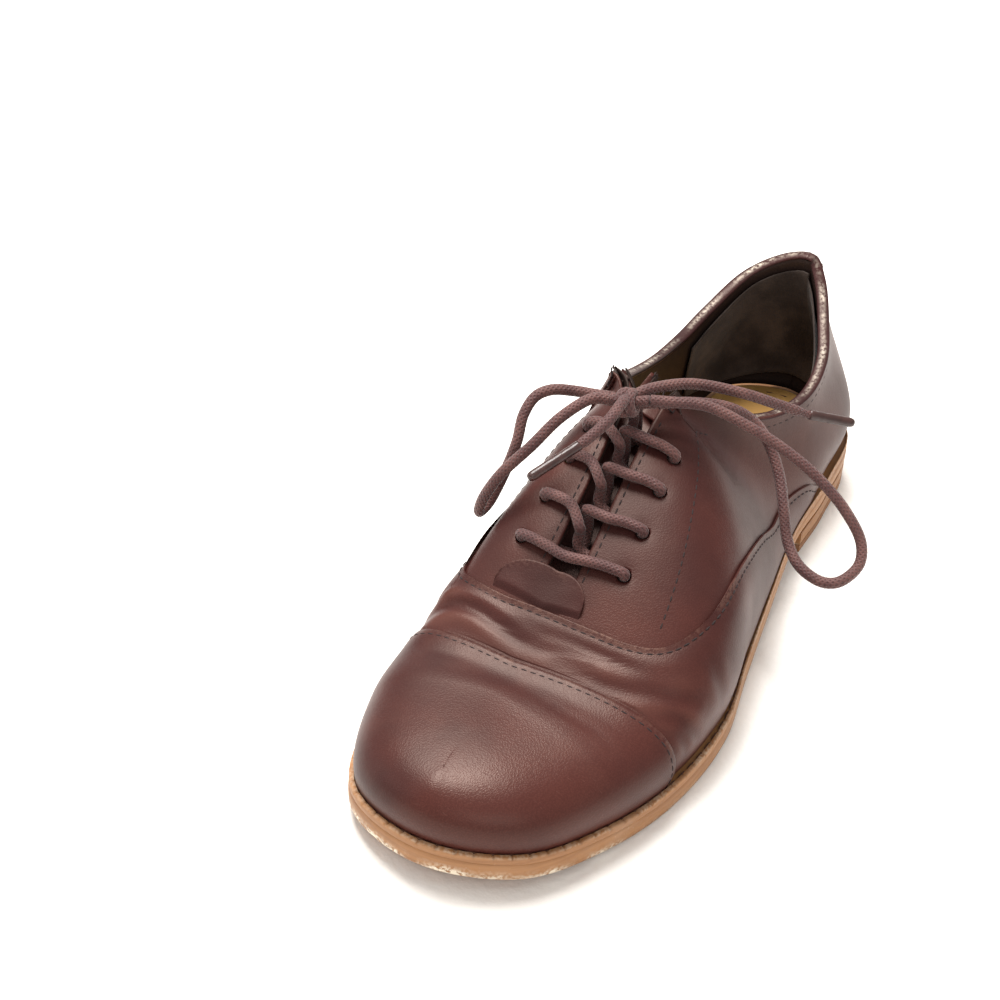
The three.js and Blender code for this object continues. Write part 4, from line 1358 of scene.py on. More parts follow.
def skin(name: str, grid: tuple[Grid, Grid, Grid], outer: float, inner: float, seam: Grid, folded: bool,
         relief: Grid | None = None) -> Mesh:
    """A patch of the upper with its worn edge marked, and its relief's depth stored for painted shade in dips
    and painted highlight on rises.

    Args:
        name: The mesh's name.
        grid: Side signs, stations and heights.
        outer: Offset of the outer face.
        inner: Offset of the inner face.
        seam: The edge that is rubbed.
        folded: Whether the first row closes on itself.
        relief: Extra height of the outer face.

    Returns:
        The mesh.
    """
    sign, k, v = grid
    base, up = LAST.soft(sign, k, v)
    extra = np.zeros_like(k) if relief is None else relief
    top = base + up * (outer + extra)[..., None]
    bottom = base + up * np.maximum(inner + np.minimum(extra, 0), inner - 0.45)[..., None]
    # The second weight is painted shade where the relief dips and painted highlight where it rises.
    weights = {"wear": np.exp(-nearest(base, seam) / 1.3), "crease": np.clip(-extra * 1.6, -1, 1)}
    return sheet_mesh(name, top, bottom, weights, folded)


@dataclass
class Forepart(Assembly):
    """The toe cap and the vamp behind it, with the vamp's lining."""

    cap_edge: float = 2.92
    vamp_front: float = 2.72
    stitch_inset: float = 1.9
    stitch_floor: float = 19.0
    cap_layer: tuple = (1.4, 0.2)
    vamp_layer: tuple = (0.0, -1.3)
    lining_layer: tuple = (-3.45, -4.1)
    creases: tuple = (
        Crease(((-0.8, 3.04), (-0.62, 3.12), (-0.42, 3.2), (-0.22, 3.22), (0, 3.14), (0.2, 3.12)), 1.0, 2.6),
        Crease(((-0.2, 3.36), (-0.02, 3.27), (0.16, 3.24), (0.36, 3.25), (0.5, 3.34)), 0.6, 3.0),
        Crease(((0.1, 3.03), (0.3, 3.06), (0.44, 3.16), (0.6, 3.3), (0.7, 3.5)), 0.55, 2.8),
        Crease(((0.5, 3.02), (0.62, 3.14), (0.74, 3.2), (0.88, 3.36)), 0.6, 2.3),
        Crease(((0.62, 3.02), (0.78, 3.1), (0.92, 3.14)), 0.45, 1.8),
        Crease(((-0.92, 3.16), (-0.78, 3.26), (-0.62, 3.3), (-0.5, 3.42)), 0.8, 2.4),
        Crease(((-0.9, 3.5), (-0.76, 3.46), (-0.62, 3.52)), 0.45, 2.0),
        Crease(((0.6, 3.8), (0.72, 3.76), (0.85, 3.85)), 0.3, 2.6),
    )
    cap_creases: tuple = (
        Crease(((0.06, 2.44), (0.16, 2.38), (0.26, 2.36), (0.38, 2.38), (0.52, 2.3)), 0.07, 1.7),
        Crease(((-0.5, 2.66), (-0.3, 2.6), (-0.1, 2.64)), 0.1, 2.0),
    )
    dip: Smooth = field(default_factory=lambda: Smooth(
        [0, 0.06, 0.12, 0.22, 0.32, 0.42, 0.52, 0.62, 1], [0, 0.02, 0.04, 0.08, 0.12, 0.06, 0.02, 0, 0]))

    def cap_seam(self) -> Grid:
        """Rows along the toe cap's rear edge."""
        return across_rows(lambda place: np.full_like(place, self.cap_edge))

    def stitch_row(self, rows: Grid, offset: float) -> Grid:
        """The stitch line on the toe's side of an edge."""
        lines = [seam_line(rows, offset, sign * self.stitch_inset) for sign in (1, -1)]
        return max(lines, key=lambda line: line[:, 1].mean())

    def vamp_place(self, side: Side, t: Grid, w: Grid) -> tuple[Grid, Grid]:
        """Station and height of the vamp's grid."""
        rear = WING[side](w)
        k = self.vamp_front + (rear[..., 0] - self.vamp_front) * t
        return k, w + (rear[..., 1] - w) * t - self.dip(w) * 4 * t * (1 - t)

    def vamp_seam(self) -> Grid:
        """The vamp's rear edge.

        Returns:
            Rows from the lateral side to the medial.
        """
        w = np.linspace(0.0, 1.0, 260)
        lateral = WING[Side.LATERAL](w)
        medial = WING[Side.MEDIAL](w)[::-1]
        one = np.ones(len(w))
        return np.concatenate([
            np.column_stack([one, lateral]),
            np.column_stack([-one, medial])[1:],
        ])

    def build(self) -> None:
        """Makes and dresses the pieces."""
        seam_rows = self.cap_seam()
        seam = seam_line(seam_rows, 0.6, 0.0)
        stitches = self.stitch_row(seam_rows, 1.22)
        grid = crossing_grid(100, 90, lambda side, t, w: (self.cap_edge * t + 0 * w, w + 0 * t))
        base = LAST.point(*grid)
        edge_gap = nearest(base, seam)
        stitch_gap = nearest(base, stitches)
        calm = 1 - np.exp(-(stitch_gap / 3.0) ** 2)
        relief = 0.12 * waviness(base, 24.0, 3.1) * calm - 0.45 * np.exp(-(edge_gap / 1.6) ** 2)
        relief = relief - STITCH_DENT * np.exp(-(stitch_gap / 0.8) ** 2)
        for crease in self.cap_creases:
            relief = relief + crease.press(base)
        mesh = skin("toe_cap_leather", grid, *self.cap_layer, seam, True, relief)
        self.put(mesh, self.fin.cap, Body.FOREFOOT, "toe_cap")
        self.put_stitches("toe_cap_stitches", [stitches], Body.FOREFOOT)
        self.build_vamp()

    def build_vamp(self) -> None:
        """Makes the vamp with its creases and seam, and its lining."""
        seam_rows = self.vamp_seam()
        seam = seam_line(seam_rows, -0.4, 0.0)
        stitches = self.stitch_row(seam_rows, -0.84)
        stitches = stitches[stitches[:, 2] > self.stitch_floor]
        grid = crossing_grid(150, 100, self.vamp_place)
        base = LAST.point(*grid)
        gap = nearest(base, seam)
        stitch_gap = nearest(base, stitches)
        folds = 0.18 * waviness(base, 22.0, 1.7)
        for crease in self.creases:
            folds = folds + crease.press(base)
        calm = 1 - np.exp(-(stitch_gap / 3.0) ** 2)
        relief = folds * (0.25 + 0.75 * calm) - 0.9 * np.exp(-(gap / 4.5) ** 2)
        relief = relief - STITCH_DENT * np.exp(-(stitch_gap / 0.8) ** 2)
        cap = nearest(base, seam_line(self.cap_seam(), 0.0, 0.0))
        covered = (grid[1] < self.cap_edge + 0.03) | (cap < 1.5)
        relief = np.where(covered, np.minimum(relief, 0.1), relief)
        mesh = skin("vamp_leather", grid, *self.vamp_layer, seam, False, relief)
        self.put(mesh, self.fin.upper, Body.FLEXING, "vamp")
        self.put_stitches("vamp_stitches", [stitches], Body.FLEXING)
        rear = Smooth([0, 0.03, 0.32, 0.47, 0.62, 0.74, 1], [5.1, 5.05, 4.5, 4.0, 3.6, 3.38, 3.38])
        grid = crossing_grid(70, 44, lambda side, t, w: (rear(w) * t, w + 0 * t))
        base = LAST.point(*grid)
        relief = 0.08 * waviness(base, 12.0, 5.5)
        mesh = skin("vamp_lining_skin", grid, *self.lining_layer, seam, True, relief)
        self.put(mesh, self.fin.lining, Body.FLEXING, "vamp_lining")


def eyelet_centres(side: Side, offset: float) -> Grid:
    """Centres of one side's lace holes, at an offset."""
    return spots([(side.value, k, EYELET_HEIGHT[side]) for k in EYELETS], offset)


def punch(obj: Object, side: Side, radius: float) -> None:
    """Cuts the lace holes through a piece.

    Args:
        obj: The piece.
        side: Its side.
        radius: The holes' radius in millimetres.
    """
    cutter_mesh = bpy.data.meshes.new("hole_punch")
    work = bmesh.new()
    inner, outer = to_frame(eyelet_centres(side, -9.0)), to_frame(eyelet_centres(side, 5.0))
    for low, high in zip(inner, outer):
        axis = Vector(high - low)
        place = axis.to_track_quat("Z", "Y").to_matrix().to_4x4()
        place.translation = Vector((low + high) / 2)
        bmesh.ops.create_cone(work, cap_ends=True, segments=28, radius1=radius * MM, radius2=radius * MM,
                              depth=axis.length, matrix=place)
    work.to_mesh(cutter_mesh)
    work.free()
    cutter = bpy.data.objects.new("hole_punch", cutter_mesh)
    bpy.context.scene.collection.objects.link(cutter)
    modifier = obj.modifiers.new("holes", "BOOLEAN")
    modifier.operation = "DIFFERENCE"
    modifier.solver = "EXACT"
    modifier.object = cutter
    graph = bpy.context.evaluated_depsgraph_get()
    cut = bpy.data.meshes.new_from_object(obj.evaluated_get(graph), depsgraph=graph)
    obj.modifiers.clear()
    finish = obj.data.materials[0]
    obj.data = cut
    cut.materials.clear()
    cut.materials.append(finish)
    bpy.data.objects.remove(cutter)


@dataclass
class Quarter(Assembly):
    """One side's rear upper with its facing, and the lining behind it."""

    side: Side
    front: float = 3.22
    heel_seam: float = 9.99
    lining_seam: float = 9.998
    layer: tuple = (-1.8, -2.9)

    def low_edge(self) -> Smooth:
        """The lower edge of the quarter.

        Returns:
            Its height by station.
        """
        stations = [3.22, 3.6, 4.2, 5.2, 6.3, 6.9, 7.2, 7.35, 7.5, 10]
        heights = {
            Side.LATERAL: [0.6, 0.46, 0.34, 0.22, 0.14, 0.17, 0.15, 0.1, 0, 0],
            Side.MEDIAL: [0.55, 0.36, 0.24, 0.18, 0.14, 0.16, 0.14, 0.1, 0, 0],
        }
        return Smooth(stations, heights[self.side])

    def facing_row(self) -> Grid:
        """The long stitch line beside the lace holes.

        Returns:
            Its rows.
        """
        places = {
            Side.LATERAL: [(6.3, 0.83), (5.6, 0.76), (4.95, 0.70), (4.4, 0.67), (3.95, 0.655), (3.68, 0.65)],
            Side.MEDIAL: [(6.3, 0.8), (5.6, 0.66), (5.0, 0.55), (4.6, 0.47), (4.3, 0.42), (4.05, 0.39)],
        }
        raw = np.array([(k, v, 0.0) for k, v in places[self.side]])
        fine = polyline(raw, 0.02)
        return np.column_stack([np.full(len(fine), float(self.side.value)), fine[:, 0], fine[:, 1]])

    def edge_rows(self, start: float, end: float) -> Grid:
        """Rows along the facing's edge and the topline between two stations."""
        k = np.linspace(start, end, 220)
        return np.column_stack([np.full(len(k), float(self.side.value)), k, FACING_EDGE(k)])

    def inside(self, rows: Grid, offset: float, inset: float) -> Grid:
        """The line at an inset that lies below the edge."""
        lines = [seam_line(rows, offset, sign * inset) for sign in (1, -1)]
        middle = LAST.layer(rows[:, 0], rows[:, 1], rows[:, 2] - 0.2, np.zeros(len(rows))).mean(0)
        gaps = [np.linalg.norm(line.mean(0) - middle) for line in lines]
        return lines[int(np.argmin(gaps))]

    def build(self) -> None:
        """Makes and dresses the quarter, its stitches and its lining."""
        name = self.side.name.lower()
        low = self.low_edge()
        k = np.linspace(self.front, self.heel_seam, 190)[:, None]
        share = np.linspace(0, 1, 74)[None, :]
        bottom = np.where(k >= 7.5, 0.0, np.maximum(0, low(k)))
        v = bottom + (FACING_EDGE(k) - bottom) * share
        k = k + 0 * v
        sign = np.full_like(k, self.side.value)
        base = LAST.point(sign, k, v)
        edge = seam_line(self.edge_rows(self.front, self.heel_seam), -1.8, 0.0)
        stitch_rows = [
            seam_line(self.facing_row(), -1.9, 0.0),
            self.inside(self.edge_rows(3.62, 5.35), -1.9, 2.0),
            self.inside(self.edge_rows(5.7, 9.6), -1.9, 3.4),
        ]
        gaps = [nearest(base, stitches) for stitches in stitch_rows]
        calm = 1 - np.exp(-(np.min(gaps, axis=0) / 3.0) ** 2)
        relief = 0.2 * waviness(base, 26.0, 9.0 + self.side.value) * calm
        for gap in gaps:
            relief = relief - STITCH_DENT * np.exp(-(gap / 1.3) ** 2)
        holes = nearest(base, eyelet_centres(self.side, -1.0))
        relief = relief - 0.45 * np.exp(-(holes / 3.4) ** 2)
        relief = relief - 0.3 * np.exp(-(nearest(base, edge) / 0.8) ** 2)
        hidden = v < bottom + 0.05
        relief = np.where(hidden, np.minimum(relief, 0), np.minimum(relief, 0.4))
        mesh = skin("quarter_" + name, (sign, k, v), *self.layer, edge, False, relief)
        obj = add_object("quarter_skin_" + name, mesh, self.fin.upper)
        punch(obj, self.side, 2.3)
        attach(obj, Body.FLEXING, "quarter_" + name)
        self.put_stitches("quarter_stitches_" + name, stitch_rows, Body.FLEXING)
        self.build_lining(name)

    def build_lining(self, name: str) -> None:
        """Makes the lining behind the quarter.

        Args:
            name: The side's name.
        """
        stations = [3.45, 3.7, 4.05, 4.35, 4.65, 4.95, 5.18, 5.3]
        low = Smooth(stations, [0.82, 0.68, 0.52, 0.44, 0.33, 0.18, 0.03, 0])
        k = np.linspace(3.45, self.lining_seam, 130)[:, None]
        share = np.linspace(0, 1, 40)[None, :]
        bottom = np.where(k >= 5.3, 0.0, np.maximum(0, low(k)))
        v = bottom + (FACING_EDGE(k) - bottom) * share
        k = k + 0 * v
        sign = np.full_like(k, self.side.value)
        base = LAST.point(sign, k, v)
        top = LINING_TOP(k)
        wrinkle = 0.18 * waviness(base, 9.0, 4.0) * np.clip((8.2 - k) / 2, 0, 1)
        edge = seam_line(self.edge_rows(3.45, self.lining_seam), -4.8, 0.0)
        up = LAST.normal(sign, k, v)
        outer = base + up * top[..., None]
        inner = base + up * (top - LINING - np.abs(wrinkle))[..., None]
        weights = {"wear": np.exp(-nearest(base, edge) / 1.5)}
        mesh = sheet_mesh("quarter_lining_" + name, inner, outer, weights)
        obj = add_object("quarter_lining_skin_" + name, mesh, self.fin.lining)
        punch(obj, self.side, 2.6)
        attach(obj, Body.FLEXING, "quarter_lining_" + name)


@dataclass
class Collar(Assembly):
    """The folded topline, the strip down the heel, the heel grip and the throat tab."""

    grip_outer: float = -6.3
    strip_front: float = 9.7
    strip_layer: tuple = (-0.7, -1.4)

    def wrap(self, start: float, count: int) -> tuple[Grid, Grid]:
        """Side signs and stations round the heel from one side to the other."""
        there = np.linspace(start, 10, count)
        sign = np.r_[np.ones(count), -np.ones(count - 1)]
        return sign, np.r_[there, there[-2::-1]]

    def build(self) -> None:
        """Makes and dresses the pieces."""
        self.build_binding()
        sign, k = self.wrap(self.strip_front, 24)
        share = np.linspace(0, 1, 70)[None, :]
        k = k[:, None] + 0 * share
        grid = (sign[:, None] + 0 * share, k, share * 0.985 + 0 * k)
        base = LAST.point(*grid)
        heights = np.linspace(0.02, 0.97, 80)
        stitches = [
            seam_line([(side, self.strip_front + 0.045, height) for height in heights], -0.62, 0.0)
            for side in (1.0, -1.0)
        ]
        relief = np.zeros_like(k)
        for row in stitches:
            relief = relief - 0.2 * np.exp(-(nearest(base, row) / 0.8) ** 2)
        mesh = skin("back_strip_skin", grid, *self.strip_layer, stitches[0], False, relief)
        self.put(mesh, self.fin.upper, Body.ROOT, "back_strip")
        self.put_stitches("back_strip_stitches", stitches, Body.ROOT)
        self.build_grip()
        self.build_tab()

    def build_binding(self) -> None:
        """Makes the folded edge along the topline."""
        sign, k = self.wrap(6.28, 150)
        full = np.ones_like(k)
        climb = unit(LAST.point(sign, k, full) - LAST.point(sign, k, full * 0.96))
        up = LAST.normal(sign, k, full)
        top = LAST.point(sign, k, full)
        inner = LINING_TOP(k) - LINING
        centre = (-1.6 + inner) / 2
        half = (-1.6 - inner) / 2 + 0.12
        angle = np.linspace(0, math.pi, 11)
        profile = []
        for a in angle:
            lift = 0.55 + 1.0 * np.sin(a) ** 0.8
            profile.append(top + up * (centre + half * np.cos(a))[:, None] + climb * lift)
        levels = np.array(profile).transpose(1, 0, 2)
        crest = np.sin(angle)[None, :] ** 14 * np.ones((len(k), 1))
        verts = levels.reshape(-1, 3)
        count = levels.shape[1]
        faces = grid_faces(levels.shape[0], count, 0, wrap=True)
        faces.append(list(range(count)))
        faces.append([(len(k) - 1) * count + j for j in range(count)][::-1])
        mesh = finish_mesh("topline_fold", verts, faces, {"wear": crest.reshape(-1)})
        obj = add_object("topline_fold", mesh, self.fin.binding)
        attach(obj, Body.ROOT, "topline_binding")

    def build_grip(self) -> None:
        """Makes the suede grip inside the heel."""
        sign, k = self.wrap(8.1, 60)
        low = Smooth([8, 8.5, 10], [0.3, 0.12, 0.08])
        high = Smooth([8, 8.5, 10], [0.88, 0.93, 0.94])
        share = np.linspace(0, 1, 44)[None, :]
        k = k[:, None] + 0 * share
        v = low(k) + (high(k) - low(k)) * share
        sign = sign[:, None] + 0 * share
        base = LAST.point(sign, k, v)
        up = LAST.normal(sign, k, v)
        puff = 0.25 * waviness(base, 7.0, 8.0)
        inner = base + up * (self.grip_outer - 0.5 - np.abs(puff))[..., None]
        outer = base + up * np.full_like(k, self.grip_outer)[..., None]
        mesh = sheet_mesh("heel_grip_suede", inner, outer)
        self.put(mesh, self.fin.suede, Body.ROOT, "heel_grip")

    def build_tab(self) -> None:
        """Makes the half-moon tab over the foot of the slit."""
        w = np.linspace(-1, 1, 61)[:, None]
        t = np.linspace(0, 1, 30)[None, :]
        sign = np.where(w >= 0, 1.0, -1.0) + 0 * t
        v = 1 - np.abs(w) * np.where(w >= 0, 0.1, 0.22) + 0 * t
        reach = 3.52 + 0.26 * np.sqrt(np.maximum(0, 1 - w**2))
        k = 3.4 + (reach - 3.4) * t
        base = LAST.point(sign, k, v)
        up = LAST.normal(sign, k, v)
        join = np.exp(-(w / 0.12) ** 2) + 0 * t
        up = unit(up * (1 - join)[..., None] + np.array([0.0, 0.3, 1.0]) * join[..., None])
        curl = 0.5 * t**4 + 0.25 * waviness(base, 8.0, 2.0)
        tuck = np.clip((k - 3.43) / 0.08, 0, 1)
        rise = -1.85 + 1.15 * tuck * tuck * (3 - 2 * tuck) + curl * tuck
        outer = base + up * rise[..., None]
        inner = base + up * (rise - 0.75)[..., None]
        weights = {"wear": t**8 + 0 * w, "crease": 0 * curl}
        mesh = sheet_mesh("throat_tab_leather", outer, inner, weights)
        self.put(mesh, self.fin.tab, Body.FLEXING, "throat_tab")


@dataclass
class Tongue(Assembly):
    """The tongue and its lining, below the facings."""

    stations: tuple = (3.15, 6.3)
    depth: Smooth = field(default_factory=lambda: Smooth(
        [3.15, 3.6, 5.2, 5.7, 6], [-12.6, -12.6, -13.2, -13.2, -12]))
    narrow: Smooth = field(default_factory=lambda: Smooth([3.15, 5.4, 6, 6.6], [0, 0, 0.18, 0.28]))

    def section(self, k: float, drop: float, across: Grid) -> Grid:
        """Points across the tongue at one station.

        Args:
            k: Station.
            drop: Depth below its upper face.
            across: Places from -1 (medial) to 1 (lateral).

        Returns:
            One point for each place.
        """
        reach = min(k, 6.0)
        extra = max(0.0, k - 6.0)
        depth = float(self.depth(reach)) - drop
        thin = float(self.narrow(k))
        slope = unit(LAST.ridge(6.0) - LAST.ridge(5.6))
        push = slope * extra * 26 + np.array([1.0, 0, 0]) * extra * 4
        points = spots([(-1, reach, 0.66 + thin * 1.15)], -9 - drop - thin * 9)
        points = np.concatenate([
            points,
            spots([(-1, reach, 0.85 + thin * 0.45)], min(-10, depth + 2.2) - thin * 9),
            LAST.middle(reach, depth)[None],
            spots([(1, reach, 0.85 + thin * 0.45)], min(-10, depth + 2.2)),
            spots([(1, reach, 0.66 + thin)], -8.2 - drop),
        ]) + push
        ease = min(1.0, max(0.0, (k - 5.1) / 0.5))
        for at, a, b in ((1, 0, 2), (3, 2, 4)):
            plain = (points[a] + points[b]) / 2 + np.array([0.0, 0.0, 0.7])
            points[at] = points[at] * (1 - ease) + plain * ease
        return Smooth([-1, -0.5, 0, 0.5, 1], points)(across)

    def layer(self, name: str, top: float, bottom: float) -> Mesh:
        """One layer of the tongue.

        Args:
            name: The mesh's name.
            top: Depth of its upper face.
            bottom: Depth of its lower face.

        Returns:
            The mesh.
        """
        across = np.linspace(-1, 1, 40)
        ks = np.linspace(*self.stations, 80)
        outer = np.array([self.section(k, top, across) for k in ks])
        inner = np.array([self.section(k, bottom, across) for k in ks])
        ripple = 0.35 * waviness(outer, 11.0, 6.0)
        outer = outer + np.stack([0 * ripple, 0 * ripple, np.minimum(ripple, 0.2)], -1)
        edge = np.concatenate([outer[:, 0], outer[-1], outer[::-1, -1]])
        return sheet_mesh(name, outer, inner, {"wear": np.exp(-nearest(outer, edge[::3]) / 1.2)})

    def build(self) -> None:
        """Makes and dresses the tongue and its frayed thread ends."""
        obj = add_object("tongue_leather", self.layer("tongue_leather", 0.0, 1.5), self.fin.upper)
        attach(obj, Body.FLEXING, "tongue")
        obj = add_object("tongue_lining_skin", self.layer("tongue_lining_skin", 1.9, 2.7), self.fin.lining)
        attach(obj, Body.FLEXING, "tongue_lining")
        ends = []
        for i in range(26):
            place = -0.9 + 1.8 * i / 25
            root = self.section(6.28, 0.7, np.array([place]))[0]
            wild = [math.sin(i * 12.9898) * 1.3, -1.4 - abs(math.cos(i * 4.1)) * 1.3, 1.6 * math.sin(i * 7.3)]
            tip = root + np.array(wild)
            middle = (root + tip) / 2 + np.array([0.5 * math.cos(i * 5.0), 0.0, 0.5 * math.sin(i * 3.0)])
            path = polyline([root, middle, tip], 0.5)
            ends.append(tube_mesh("fray", path, lambda run, turn: 0.13 + 0 * run * turn, 5))
        obj = add_object("tongue_fray", join_meshes("tongue_fray", ends), self.fin.thread)
        attach(obj, Body.ROOT)


@dataclass
class Bottom(Assembly):
    """The outsole, its rim, the heel and the hidden parts of the bottom."""

    ring_points: int = 480
    notch_pitch: float = 5.6
    tread_pitch: float = 5.0
    tread_depth: float = 0.7
    under: Smooth = field(default_factory=lambda: Smooth(
        [-5, 0, 50, 70, 84, 105, 135, 195, 270], [8.8, 8.8, 8.8, 8.7, 5.2, 2.4, 0, 0, 0]))

    def above(self, rise: float) -> Curve:
        """Height of a layer over the sole's top edge, by distance from the heel."""
        return lambda d: LAST.sole_top(d) + LAST.toe_spring(d) + rise

    def below(self, rise: float) -> Curve:
        """Height of a layer over the sole's under face, by distance from the heel."""
        return lambda d: np.maximum(0, self.under(d)) + LAST.toe_spring(d) + rise

    def loop(self, inset: Curve, height: Curve, q: Grid | None = None) -> Grid:
        """A ring of points.

        Args:
            inset: Inset from the outline, by distance from the heel.
            height: Height, by distance from the heel.
            q: Ring positions; all round by default.

        Returns:
            Points in order.
        """
        if q is None:
            q = np.arange(self.ring_points) * 20 / self.ring_points
        at, _, d = LAST.edge(q, inset(LAST.ring(q)[..., 1]))
        return np.column_stack([at, height(d)])

    def plate(self, name: str, levels: Grid, tread: bool, wear: Grid | None = None) -> Mesh:
        """A plate from rings stacked upwards, with faces across its two ends.

        Args:
            name: The mesh's name.
            levels: Rings, lowest first.
            tread: Whether its lower face has grooves.
            wear: Wear for the rings' points.

        Returns:
            The mesh.
        """
        count = levels.shape[1]
        half = count // 2
        steps = np.linspace(0, 1, 49)[None, :, None]
        verts = [levels.reshape(-1, 3)]
        faces = grid_faces(levels.shape[0], count, 0, wrap=True)
        start = levels.shape[0] * count
        for ring, grooved in ((levels[0], tread), (levels[-1], False)):
            near = ring[np.arange(half + 1)]
            far = ring[(count - np.arange(half + 1)) % count]
            field_points = near[:, None] * (1 - steps) + far[:, None] * steps
            if grooved:
                gap = nearest(field_points, ring)
                phase = np.abs((field_points[..., 1] / self.tread_pitch) % 1 - 0.5) * 2
                cut = np.clip((phase - 0.55) / 0.2, 0, 1) * np.clip((gap - 5.0) / 1.5, 0, 1)
                field_points[..., 2] += self.tread_depth * cut
            verts.append(field_points.reshape(-1, 3))
            faces += grid_faces(half + 1, 49, start)
            start += (half + 1) * 49
        points = np.concatenate(verts)
        marks = np.zeros(len(points))
        if wear is not None:
            marks[:wear.size] = wear.reshape(-1)
        mesh = finish_mesh(name, points, faces, {"wear": marks})
        mesh.set_sharp_from_angle(angle=math.radians(48))
        return mesh

    def build(self) -> None:
        """Makes and dresses the pieces."""
        steps = [
            (1.4, self.below(0.0)), (0.75, self.below(0.12)), (0.3, self.below(0.5)), (0.1, self.below(1.2)),
            (0.0, lambda d: (self.below(1.2)(d) + self.above(-4.0)(d)) / 2),
            (0.0, self.above(-4.0)), (0.12, self.above(-2.5)), (0.5, self.above(-2.0)),
        ]
        levels = np.array([self.loop(lambda d, e=inset: 0 * d + e, height) for inset, height in steps])
        front = np.clip((levels[..., 1] - 205) / 30, 0, 1) * np.clip((20 - levels[..., 0]) / 25, 0.25, 1)
        fade = np.array([0.5, 1.0, 1.0, 0.8, 0.15, 0, 0, 0])[:, None]
        mesh = self.plate("outsole_rubber", levels, True, front * fade + 0.06 * fade)
        self.put(mesh, self.fin.tan, Body.FLEXING, "outsole")
        self.build_rim()
        self.build_heel()
        self.build_hidden()

    def build_rim(self) -> None:
        """Makes the rim round the upper, with its cut notches and its thread."""
        count = 1200
        q = np.arange(count) * 20 / count
        ring = LAST.ring(q)
        run = run_along(ring)
        ledge = LAST.edge_inset(ring[:, 1])
        notches = round(run[-1] / self.notch_pitch)
        phase = np.abs((run / run[-1] * notches) % 1 - 0.5) * 2
        notch = np.clip((phase - 0.78) / 0.16, 0, 1) * np.clip((ledge - 1.4) / 0.8, 0, 1)
        rib = 0.18 + 0.42 * ledge
        rib_top = 0.9 - 0.55 * notch
        profile = [
            (0.2 + 0 * ledge, -1.7 + 0 * ledge),
            (0.12 + 0 * ledge, -0.9 + 0 * ledge),
            (0.15 + 0 * ledge, 0.1 + 0 * ledge),
            (0.17 + 0.03 * ledge, rib_top - 0.25),
            (0.2 + 0.1 * ledge, rib_top),
            ((0.2 + 0.1 * ledge + rib) / 2, rib_top + 0.05),
            (rib, rib_top),
            (rib + 0.12, np.maximum(rib_top - 0.4, 0.0)),
            (rib + 0.18, -0.3 + 0 * ledge),
            (ledge + 3.0, -0.3 + 0 * ledge),
            (ledge + 6.0, -0.3 + 0 * ledge),
            (ledge + 6.0, -1.7 + 0 * ledge),
        ]
        rows = []
        for inset, rise in profile:
            at, _, d = LAST.edge(q, inset)
            rows.append(np.column_stack([at, self.above(rise)(d)]))
        levels = np.array(rows)
        wear = np.zeros(levels.shape[:2])
        wear[3:7] = 0.05
        mesh = loop_mesh("rim_rubber", levels, {"wear": wear})
        mesh.set_sharp_from_angle(angle=math.radians(60))
        self.put(mesh, self.fin.tan, Body.FLEXING, "welt")
        part = ledge > 1.6
        path = np.column_stack([LAST.edge(q, rib + 0.34)[0], self.above(0.42)(ring[:, 1])])
        first = int(np.argmin(part))
        rolled = np.roll(path, -first, axis=0)[np.roll(part, -first)]
        pitch = self.notch_pitch * 0.9
        stitches = self.stitcher.sew("rim_thread", [rolled], self.fin.sole_thread, pitch, 3.9, 0.34)
        attach(stitches, Body.FLEXING)

    def heel_ring(self, inset: float, height: float) -> Grid:
        """The heel's outline: round the back, and straight across its front.

        Args:
            inset: How far inside the sole's outline.
            height: Height of the ring.

        Returns:
            Points in order.
        """
        lateral = np.linspace(7.27, 10, 90)
        medial = 20 - np.linspace(10, 7.24, 90)[1:]
        q = np.r_[lateral, medial]
        at, _, _ = LAST.edge(q, np.full(len(q), inset))
        share = np.linspace(0, 1, 42)[1:-1, None]
        front = at[-1] * (1 - share) + at[0] * share
        ring = np.concatenate([at, front])
        return np.column_stack([ring, np.full(len(ring), height)])

    def heel_mesh(self, name: str, low: float, high: float, wear: float) -> Mesh:
        """A layer of the heel, rounded at its lower edge.

        Args:
            name: The mesh's name.
            low: Its lower face.
            high: Its upper face.
            wear: Wear of its lower edge.

        Returns:
            The mesh.
        """
        steps = [(0.95, low), (0.5, low + 0.12), (0.2, low + 0.4), (0.1, low + 0.8)]
        steps += [(0.1, high - 0.25), (0.3, high)]
        levels = np.array([self.heel_ring(inset, height) for inset, height in steps])
        count = levels.shape[1]
        faces = grid_faces(len(steps), count, 0, wrap=True)
        faces.append(list(range(count)))
        faces.append([(len(steps) - 1) * count + j for j in range(count)])
        marks = np.zeros(levels.shape[:2])
        marks[:3] = wear
        mesh = finish_mesh(name, levels.reshape(-1, 3), faces, {"wear": marks.reshape(-1)})
        mesh.set_sharp_from_angle(angle=math.radians(40))
        return mesh

    def build_heel(self) -> None:
        """Makes the heel block and its tread."""
        block = add_object("heel_stack", self.heel_mesh("heel_stack", 3.3, 8.4, 0.05), self.fin.tan)
        attach(block, Body.ROOT, "heel_block")
        lift = add_object("heel_tread", self.heel_mesh("heel_tread", 0.0, 3.0, 0.2), self.fin.lift)
        attach(lift, Body.ROOT, "heel_top_lift")

